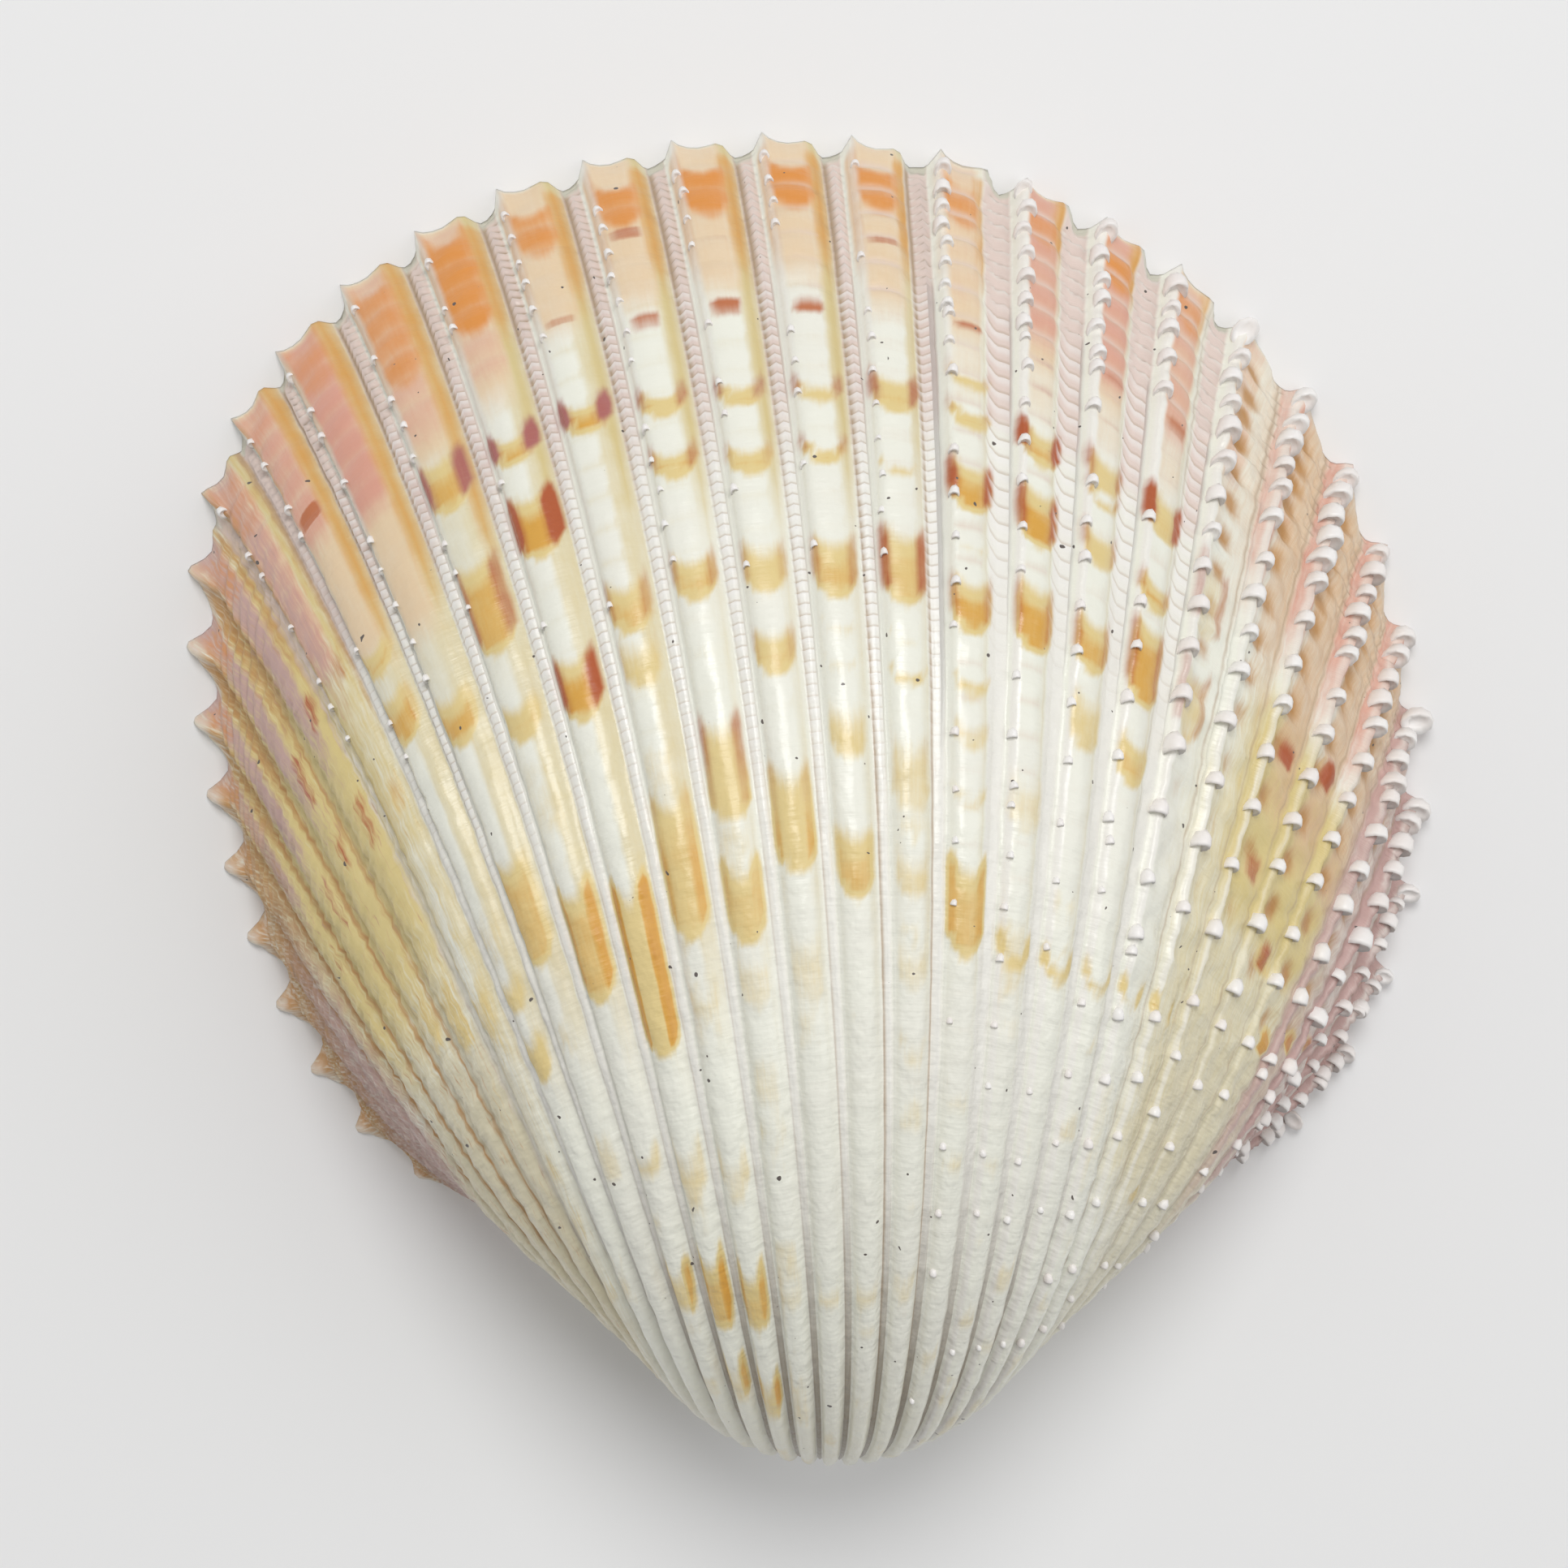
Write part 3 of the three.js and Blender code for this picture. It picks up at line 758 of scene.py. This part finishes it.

    # The rope in the grooves, everything white, a painted highlight on the plate tops and painted shade
    # between the plates.
    tooth = left * ramp(share, 0.0, 0.04, 0.2, 0.08) * (1 - smoothstep(back, 0.7, 1.8))
    plates = plate_step(place, growth)
    modelled = 1 - smoothstep(growth, ROPE_FADES, ROPE_ENDS)
    roped = groove * middle * smoothstep(number, -8, -6)
    # Painted highlight on the top of each modelled plate of the rope.
    glint = roped * plates**2 * modelled
    rope = groove * middle * (1 - smoothstep(back, 13, 20 - 5 * wide)) * (1 - 0.1 * wide)
    # The painted shade along the groove edges is weaker further back, less so from the middle rib on.
    line_shade_strength = 0.9 - 0.5 * smoothstep(back, 8, 20) * (1 - 0.7 * smoothstep(number, -1, 1))
    edge = ramp(share, groove_from - 0.03, 0.03, groove_from + 0.02, 0.03) * (1 - wide)
    edge = edge * ramp(number, -8, 1, 1, 1) * (1 - smoothstep(back, 14, 22))
    chalk_and_glint = np.maximum.reduce([
        groove * middle * smoothstep(back, 9, 18) * 0.75,
        crest * smoothstep(number, 1.8, 3) * (0.9 - 0.35 * right - 0.25 * smoothstep(number, 8, 10)),
        0.55 * crest * smoothstep(number, -7.5, -6) * (1 - smoothstep(back, 10, 16)),
        0.6 * glint,
        0.5 * tooth,
    ])
    # Painted shade in the gap between one plate of the rope and the next.
    plate_gap_shade = groove * smoothstep(number, -7.5, -6) * (1 - plates) ** 3 * modelled
    # Old stains have faded from rust to orange.
    aged = smoothstep(back, 26, 33)
    ochre = np.maximum(ochre, 1.7 * rust * aged)
    rust = rust * (1 - 0.7 * aged)
    return {
        "straw_and_shade": straw_and_shade,
        "olive": olive,
        "old": old,
        "peach": peach,
        "tan": tan,
        "rose": np.maximum(rose, 0.7 * pink_right),
        "mauve": mauve,
        "amber": amber,
        "orange": orange,
        "brown": np.maximum(brown, 0.75 * edge),
        "lilac_and_shade": np.maximum(rope, tan_crease_shade),
        "chalk_and_glint": chalk_and_glint,
        "groove_line_shade": np.maximum((0.9 - 0.4 * wide) * plate_gap_shade, groove_line_shade * line_shade_strength * (1 - left)),
        "ochre": np.maximum(ochre, faint),
        "plum": plum,
        "rust": rust,
        "red": red,
        "glass": groove * rim * middle,
        "worn_rope": roped * (1 - modelled) * (1 - smoothstep(back, 22 - 6 * wide, 34 - 8 * wide)),
        "fibrous": np.maximum(0.9 * (1 - smoothstep(number, -9, -5.5)), 0.35 * right),
        # Painted shade in the grooves and along their edges towards the beak.
        "shade": np.maximum(groove, 0.8 * groove_line_shade) * smoothstep(back, 34, 66),
    }


# %% Write the pigments on the grid
outer_rows = len(outer_growth)
outer_place, outer_back = np.meshgrid(places, outer_growth[::-1])
on_ribs = (row_index < outer_rows) & (column_index < len(places))
layers = builder.verts.layers.float
painted = pigments(outer_place, outer_back)
painted["plates"] = plate_count(outer_place, outer_back)
for name, values in painted.items():
    spread = np.zeros(len(builder.verts))
    spread[on_ribs] = values[row_index[on_ribs], column_index[on_ribs]]
    set_layer(builder, layers, name, spread)

back_value = np.zeros(len(builder.verts))
back_value[row_index < outer_rows] = outer_growth[::-1][row_index[row_index < outer_rows]]
set_layer(builder, layers, "back", back_value / MM)
set_layer(builder, layers, "rib", np.where(on_ribs, ring_place[column_index], -2.0))
inner_share = (row_index >= outer_rows).astype(float)
set_layer(builder, layers, "inner", inner_share)
scars = scar_share(ring_place[None, :], inner_turn[:, None])
scar_value = np.zeros(len(builder.verts))
is_inner = row_index >= outer_rows
scar_value[is_inner] = scars[row_index[is_inner] - outer_rows, column_index[is_inner]]
set_layer(builder, layers, "scar", scar_value)

bmesh.ops.remove_doubles(builder, verts=builder.verts, dist=WELD)
bmesh.ops.recalc_face_normals(builder, faces=builder.faces)
open_edges = sum(not edge.is_manifold for edge in builder.edges)
print(f"valve mesh: {len(builder.faces)} faces, {open_edges} open edges")
valve = finished("cockle_valve", builder)

# %% [markdown]
# ## Scales
#
# Each scale is a small hood with its round side to the margin and its mouth to the beak. One
# hood is modelled from half a sphere whose cut face is inset and pushed in, then copied to
# the places drawn above. It has only a few dozen faces, because it is repeated hundreds of
# times.

# %% One scale
SCALE_SIDES, SCALE_RINGS = 8, 5
MOUTH_LIP = 0.2
MOUTH_DEPTH = 0.3


def scale_mesh():
    """A hood of radius 1: +Y towards the margin, +Z outward, its mouth towards -Y."""
    hood = bmesh.new()
    bmesh.ops.create_uvsphere(hood, u_segments=SCALE_SIDES, v_segments=SCALE_RINGS, radius=1)
    whole = [*hood.verts, *hood.edges, *hood.faces]
    bmesh.ops.bisect_plane(hood, geom=whole, dist=1e-5, plane_co=(0, -0.3, 0),
                           plane_no=(0, -1, 0.1), clear_outer=True)
    rim = [edge for edge in hood.edges if edge.is_boundary]
    mouth = bmesh.ops.edgeloop_fill(hood, edges=rim)["faces"]
    bmesh.ops.inset_region(hood, faces=mouth, thickness=MOUTH_LIP)
    bottom = [vertex for face in mouth for vertex in face.verts]
    bmesh.ops.translate(hood, verts=bottom, vec=(0, MOUTH_DEPTH, 0))
    bmesh.ops.scale(hood, verts=bottom, vec=(0.7, 1, 0.7))
    bmesh.ops.recalc_face_normals(hood, faces=hood.faces)
    mesh = bpy.data.meshes.new("scale_pattern")
    hood.to_mesh(mesh)
    hood.free()
    return mesh


pattern = scale_mesh()
print(f"one scale: {len(pattern.polygons)} faces")

# %% Turn the scales to the surface
def frame_at(place, growth):
    """Origin, outward direction and direction to the margin at one point of the outside."""
    here, out = outside(np.array([place]), np.array([growth]))
    ahead, _ = outside(np.array([place]), np.array([max(growth - 0.3 * MM, 0)]))
    behind, _ = outside(np.array([place]), np.array([growth + 0.3 * MM]))
    outward = Vector(out[0])
    forward = Vector(ahead[0] - behind[0])
    forward = (forward - outward * forward.dot(outward)).normalized()
    return Vector(here[0] + shift), outward, forward


def scale_matrix(place, growth, width):
    """Turns the pattern to the surface: X across the rib, Y to the margin, Z outward."""
    origin, outward, forward = frame_at(place, growth)
    right = forward.cross(outward)
    turned = Matrix((right, forward, outward)).transposed().to_4x4()
    tilt = Matrix.Rotation(draw.uniform(-0.1, 0.15), 4, "X") @ Matrix.Rotation(
        draw.uniform(-0.25, 0.25), 4, "Z")
    tall = width * draw.uniform(0.5, 0.62)
    long = width * draw.uniform(0.62, 0.78)
    stretch = Matrix.Diagonal((0.42 * width, long, tall, 1))
    return Matrix.Translation(origin - outward * 0.06 * width) @ turned @ tilt @ stretch


# %% All the scales
scale_places = [scale_matrix(*spot) for spot in scale_spots]
builder = bmesh.new()
for matrix in scale_places:
    before = len(builder.verts)
    builder.from_mesh(pattern)
    builder.verts.ensure_lookup_table()
    bmesh.ops.transform(builder, matrix=matrix, verts=builder.verts[before:])
    # Scales at the very margin are lifted so that none reaches below the resting plane.
    lowest = min(vertex.co.z for vertex in builder.verts[before:])
    bmesh.ops.translate(builder, verts=builder.verts[before:], vec=(0, 0, max(0, -lowest)))
bmesh.ops.recalc_face_normals(builder, faces=builder.faces)
scales = finished("rib_scales", builder)
bpy.data.meshes.remove(pattern)

# %% [markdown]
# ## Shell material
#
# The shell is hard and a little glossy, like glazed porcelain, and painted shade darkens its
# grooves near the beak. The colour starts as ivory and each pigment, painted shade and painted
# highlight is laid over it in turn. A fine noise is added to the layer's number before it is
# cut to an edge, so the bars get the slightly feathered outline of real stains. The bump holds
# what is finer than the rows of the grid: the grain, the growth lines, the worn plates further
# back and the roughness of the old part.

# %% Node helpers
IVORY = (0.86, 0.86, 0.76)
CREAM = (0.84, 0.83, 0.74)
SPECK = (0.12, 0.10, 0.09)
# Enamel is the white of the scales and of the painted highlight on the worn rope.
ENAMEL_AND_SHINE, DULL_ENAMEL = (0.90, 0.88, 0.86), (0.87, 0.82, 0.79)
# Painted shade between the plates of the worn rope.
GAP_SHADE = (0.45, 0.33, 0.22)
# Each layer: the pigment it reads, some holding painted shade or a painted highlight too, the amounts
# where it begins and is full, and its colour.
PAINT = [
    # Straw yellow, which also holds painted shade in the creases of the rib tops.
    ("straw_and_shade", 0.1, 1.0, (0.68, 0.56, 0.27)),
    ("olive", 0.1, 0.95, (0.71, 0.58, 0.26)),
    ("old", 0.1, 0.95, (0.72, 0.66, 0.48)),
    ("peach", 0.1, 0.95, (0.79, 0.60, 0.39)),
    ("tan", 0.1, 0.95, (0.70, 0.48, 0.29)),
    ("rose", 0.1, 0.95, (0.71, 0.35, 0.26)),
    ("mauve", 0.1, 0.95, (0.56, 0.37, 0.34)),
    ("amber", 0.1, 1.0, (0.70, 0.36, 0.09)),
    ("orange", 0.1, 0.95, (0.74, 0.29, 0.06)),
    ("brown", 0.1, 1.0, (0.52, 0.27, 0.09)),
    # The lilac of the rope, which also holds painted shade in the creases of the rib tops.
    ("lilac_and_shade", 0.2, 0.9, (0.75, 0.62, 0.56)),
    # Chalk white, and the painted highlight on the plates of the rope.
    ("chalk_and_glint", 0.15, 0.9, (0.86, 0.84, 0.78)),
    # Painted shade along the groove edges and between the plates of the rope.
    ("groove_line_shade", 0.15, 0.95, (0.45, 0.33, 0.22)),
    ("ochre", 0.08, 0.6, (0.76, 0.60, 0.27)),
    ("ochre", 0.66, 1.2, (0.70, 0.37, 0.06)),
    ("plum", 0.1, 1.0, (0.42, 0.14, 0.13)),
    ("rust", 0.1, 1.0, (0.44, 0.10, 0.03)),
    ("red", 0.15, 1.0, (0.52, 0.17, 0.07)),
    ("glass", 0.2, 0.9, (0.62, 0.60, 0.50)),
    ("shade", 0.1, 1.0, (0.27, 0.22, 0.15)),
]


def new_material(name):
    material = bpy.data.materials.new(name)
    material.use_nodes = True
    return material, material.node_tree


def noise(tree, vector, scale, detail=3.0, roughness=0.55):
    node = tree.nodes.new("ShaderNodeTexNoise")
    node.inputs["Scale"].default_value = scale
    node.inputs["Detail"].default_value = detail
    node.inputs["Roughness"].default_value = roughness
    tree.links.new(vector, node.inputs["Vector"])
    return node.outputs["Fac"]


def attribute(tree, name):
    node = tree.nodes.new("ShaderNodeAttribute")
    node.attribute_name = name
    return node.outputs["Fac"]


def math_node(tree, operation, first, second):
    node = tree.nodes.new("ShaderNodeMath")
    node.operation = operation
    for socket, value in zip(node.inputs, (first, second)):
        if isinstance(value, (int, float)):
            socket.default_value = value
        else:
            tree.links.new(value, socket)
    return node.outputs["Value"]


def times(tree, first, second):
    return math_node(tree, "MULTIPLY", first, second)


def plus(tree, first, second):
    return math_node(tree, "ADD", first, second)


def shell_noise(tree, cells_a_rib, cells_a_mm, detail=3):
    """Noise that follows the ribs: so many cells across one, so many in a mm along it."""
    place = tree.nodes.new("ShaderNodeCombineXYZ")
    for axis, name, cells in (("X", "rib", cells_a_rib), ("Y", "back", cells_a_mm)):
        tree.links.new(times(tree, attribute(tree, name), cells), place.inputs[axis])
    return noise(tree, place.outputs["Vector"], 1.0, detail)


def roughen(tree, height, strength, depth):
    """Bends the light on the surface as if it rose and fell by this depth."""
    bump = tree.nodes.new("ShaderNodeBump")
    bump.inputs["Strength"].default_value = strength
    bump.inputs["Distance"].default_value = depth
    tree.links.new(height, bump.inputs["Height"])
    tree.links.new(bump.outputs["Normal"], tree.nodes["Principled BSDF"].inputs["Normal"])


def mapped(tree, value, low, high, to_low=0.0, to_high=1.0):
    node = tree.nodes.new("ShaderNodeMapRange")
    node.interpolation_type = "SMOOTHSTEP"
    for name, number in zip(("From Min", "From Max", "To Min", "To Max"),
                            (low, high, to_low, to_high)):
        node.inputs[name].default_value = number
    tree.links.new(value, node.inputs["Value"])
    return node.outputs["Result"]


def mixed(tree, factor, below, above):
    """Two colours mixed; each is a socket or a colour of three numbers."""
    node = tree.nodes.new("ShaderNodeMix")
    node.data_type = "RGBA"
    tree.links.new(factor, node.inputs["Factor"])
    for name, colour in (("A", below), ("B", above)):
        socket = next(s for s in node.inputs if s.name == name and s.type == "RGBA")
        if isinstance(colour, tuple):
            socket.default_value = (*colour, 1)
        else:
            tree.links.new(colour, socket)
    return next(s for s in node.outputs if s.type == "RGBA")


# %% Shell finish
CLOUDS, RAGGED, GRAIN, SPECKS = 160, 900, 2600, 3000  # noise cells in a metre
SCALE_CLOUDS, SCALE_GRAIN = 260, 3000
SPECK_SHARE = (0.855, 0.865)  # only the peaks of the noise become dark specks
RAGGED_EDGE = 0.26  # how far the noise moves the edge of a pigment
FIBRES = (0.16, 1.3)  # the same for the fibrous noise, on plain and on fibrous parts
# Strengths of the painted highlight and the painted shade on the worn rope.
ROPE_SHINE, ROPE_GAP_SHADE = 0.5, 0.45
GRAIN_RISE, RAGGED_RISE, PLATE_RISE = 0.4, 1.6, 1.6  # shares of the bump's height
WORN_FROM, WORN_TO, WORN_RISE = 18, 42, (0.25, 1.5)  # roughness grows with age, in mm
FLUSH_PALE, FLUSH_WARM, SCAR_COLOUR = (0.84, 0.78, 0.68), (0.83, 0.66, 0.50), (0.70, 0.56, 0.42)
GLAZE_IOR, GLAZE_COAT, GLAZE_ROUGHNESS = 1.5, 0.25, 0.18


def shell_colour(tree, place, ragged, cloudy, plate):
    """Ivory, every pigment and painted shade over it with a ragged edge, the worn rope's painted
    highlight and shade, specks and inside.
    """
    wobble = times(tree, math_node(tree, "SUBTRACT", ragged, 0.5), RAGGED_EDGE)
    fibres = math_node(tree, "SUBTRACT", shell_noise(tree, 22.0, 0.55), 0.5)
    fibre_much = mapped(tree, attribute(tree, "fibrous"), 0, 1, *FIBRES)
    wobble = plus(tree, wobble, times(tree, fibres, fibre_much))

    colour = mixed(tree, mapped(tree, cloudy, 0.35, 0.7), IVORY, CREAM)
    for name, low, high, paint in PAINT:
        amount = plus(tree, attribute(tree, name), wobble)
        colour = mixed(tree, mapped(tree, amount, low, high), colour, paint)

    # The rope further back than the modelled plates is worn: painted highlight and shade here, and a
    # bump.
    worn_rope = attribute(tree, "worn_rope")
    # Painted highlight on the top of each plate.
    shine = times(tree, mapped(tree, plate, 0.65, 0.15), worn_rope)
    colour = mixed(tree, times(tree, shine, ROPE_SHINE), colour, ENAMEL_AND_SHINE)
    # Painted shade in the gap before the next plate.
    gap = times(tree, mapped(tree, plate, 0.72, 0.98), worn_rope)
    colour = mixed(tree, times(tree, gap, ROPE_GAP_SHADE), colour, GAP_SHADE)
    specks = noise(tree, place, SPECKS, detail=0)
    colour = mixed(tree, mapped(tree, specks, *SPECK_SHARE), colour, SPECK)

    # The inside is white with a warm flush, and has slightly darker muscle scars.
    blush = mixed(tree, mapped(tree, cloudy, 0.3, 0.7), FLUSH_PALE, FLUSH_WARM)
    blush = mixed(tree, mapped(tree, attribute(tree, "scar"), 0.1, 0.9), blush, SCAR_COLOUR)
    return mixed(tree, attribute(tree, "inner"), colour, blush)


def shell_relief(tree, place, ragged, plate):
    """Growth lines finer than the plates, grain, the worn rope and the rough old part."""
    grain = times(tree, noise(tree, place, GRAIN, detail=2), GRAIN_RISE)
    height = plus(tree, shell_noise(tree, 1.2, 5.0), grain)
    height = plus(tree, height, times(tree, ragged, RAGGED_RISE))
    plate_rise = times(tree, mapped(tree, plate, 0.95, 0), attribute(tree, "worn_rope"))
    height = plus(tree, height, times(tree, plate_rise, PLATE_RISE))
    beads = mapped(tree, shell_noise(tree, 2.6, 1.1, detail=2), 0.3, 0.7)
    rough = mapped(tree, attribute(tree, "back"), WORN_FROM, WORN_TO, *WORN_RISE)
    return plus(tree, height, times(tree, beads, rough))


def shell_material():
    material, tree = new_material("cockle_shell")
    surface = tree.nodes["Principled BSDF"]
    place = tree.nodes.new("ShaderNodeTexCoord").outputs["Object"]
    ragged = noise(tree, place, RAGGED, detail=4)
    cloudy = noise(tree, place, CLOUDS, detail=2)
    plate = math_node(tree, "FRACT", attribute(tree, "plates"), 0)
    colour = shell_colour(tree, place, ragged, cloudy, plate)
    tree.links.new(colour, surface.inputs["Base Color"])
    relief = shell_relief(tree, place, ragged, plate)
    roughen(tree, relief, strength=0.5, depth=0.06 * MM)
    matt = mapped(tree, cloudy, 0.3, 0.75, to_low=0.3, to_high=0.5)
    tree.links.new(matt, surface.inputs["Roughness"])
    surface.inputs["IOR"].default_value = GLAZE_IOR
    surface.inputs["Coat Weight"].default_value = GLAZE_COAT
    surface.inputs["Coat Roughness"].default_value = GLAZE_ROUGHNESS
    return material


def scale_material():
    material, tree = new_material("scale_enamel")
    surface = tree.nodes["Principled BSDF"]
    place = tree.nodes.new("ShaderNodeTexCoord").outputs["Object"]
    cloudy = noise(tree, place, SCALE_CLOUDS, detail=3)
    colour = mixed(tree, mapped(tree, cloudy, 0.35, 0.7), ENAMEL_AND_SHINE, DULL_ENAMEL)
    tree.links.new(colour, surface.inputs["Base Color"])
    roughen(tree, noise(tree, place, SCALE_GRAIN, detail=2), strength=0.25, depth=0.05 * MM)
    matt = mapped(tree, cloudy, 0.3, 0.75, to_low=0.35, to_high=0.5)
    tree.links.new(matt, surface.inputs["Roughness"])
    return material


valve.data.materials.append(shell_material())
scales.data.materials.append(scale_material())

# %% Tie the pieces to the frame
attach(valve, BODY)
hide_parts(NODE)
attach(scales, BODY)

# %% [markdown]
# ## Floor, light and camera
#
# A broad soft light above the lower margin shows the ribs without hard shadows, and two
# weaker ones lighten the sides. A bright, even sky fills the grooves, and the floor is pale.
# The camera looks almost straight down, tipped a little, from far enough away that the dome
# is hardly distorted.

# %% Floor
FLOOR_SIZE = 3.0
FLOOR_GREY = 0.86
floor_builder = bmesh.new()
bmesh.ops.create_grid(floor_builder, x_segments=1, y_segments=1, size=FLOOR_SIZE)
floor = finished("floor", floor_builder)
floor_material, floor_tree = new_material("pale_floor")
floor_surface = floor_tree.nodes["Principled BSDF"]
floor_surface.inputs["Base Color"].default_value = (*[FLOOR_GREY] * 3, 1)
floor_surface.inputs["Roughness"].default_value = 0.9
floor.data.materials.append(floor_material)

# %% Light
SKY_STRENGTH = 0.36


def soft_light(name, place, size, power, target=Vector((0, 0, 0.008))):
    light = bpy.data.lights.new(name, "AREA")
    light.shape = "DISK"
    light.size = size
    light.energy = power
    lamp = bpy.data.objects.new(name, light)
    lamp.location = place
    lamp.rotation_euler = (target - Vector(place)).to_track_quat("-Z", "Y").to_euler()
    bpy.context.scene.collection.objects.link(lamp)
    return lamp


soft_light("key", (0.0, 0.34, 0.52), size=0.3, power=1.85)
soft_light("fill", (0.42, 0.05, 0.42), size=0.5, power=0.75)
soft_light("left_fill", (-0.45, 0.05, 0.38), size=0.5, power=0.3)
world = bpy.data.worlds.new("soft_sky")
world.use_nodes = True
world.node_tree.nodes["Background"].inputs["Color"].default_value = (1, 1, 1, 1)
world.node_tree.nodes["Background"].inputs["Strength"].default_value = SKY_STRENGTH
bpy.context.scene.world = world
bpy.context.scene.view_settings.view_transform = "Standard"

# %% Camera
CAMERA_FROM = Vector((-22.12, 62.67, 236.96)) * MM  # measured from the hinge axis
CAMERA_LOOK = Vector((0.08545, -0.17555, -0.98076))
CAMERA_UP = Vector((0.03939, 0.98418, -0.17273))
CAMERA_ANGLE = math.radians(15.54)

camera_data = bpy.data.cameras.new("camera")
camera_data.angle = CAMERA_ANGLE
camera = bpy.data.objects.new("camera", camera_data)
to_right = CAMERA_LOOK.cross(CAMERA_UP).normalized()
upward = to_right.cross(CAMERA_LOOK).normalized()
axes = Matrix((to_right, upward, -CAMERA_LOOK.normalized())).transposed().to_4x4()
camera.matrix_world = Matrix.Translation(CAMERA_FROM + Vector(shift)) @ axes
bpy.context.scene.collection.objects.link(camera)
bpy.context.scene.camera = camera
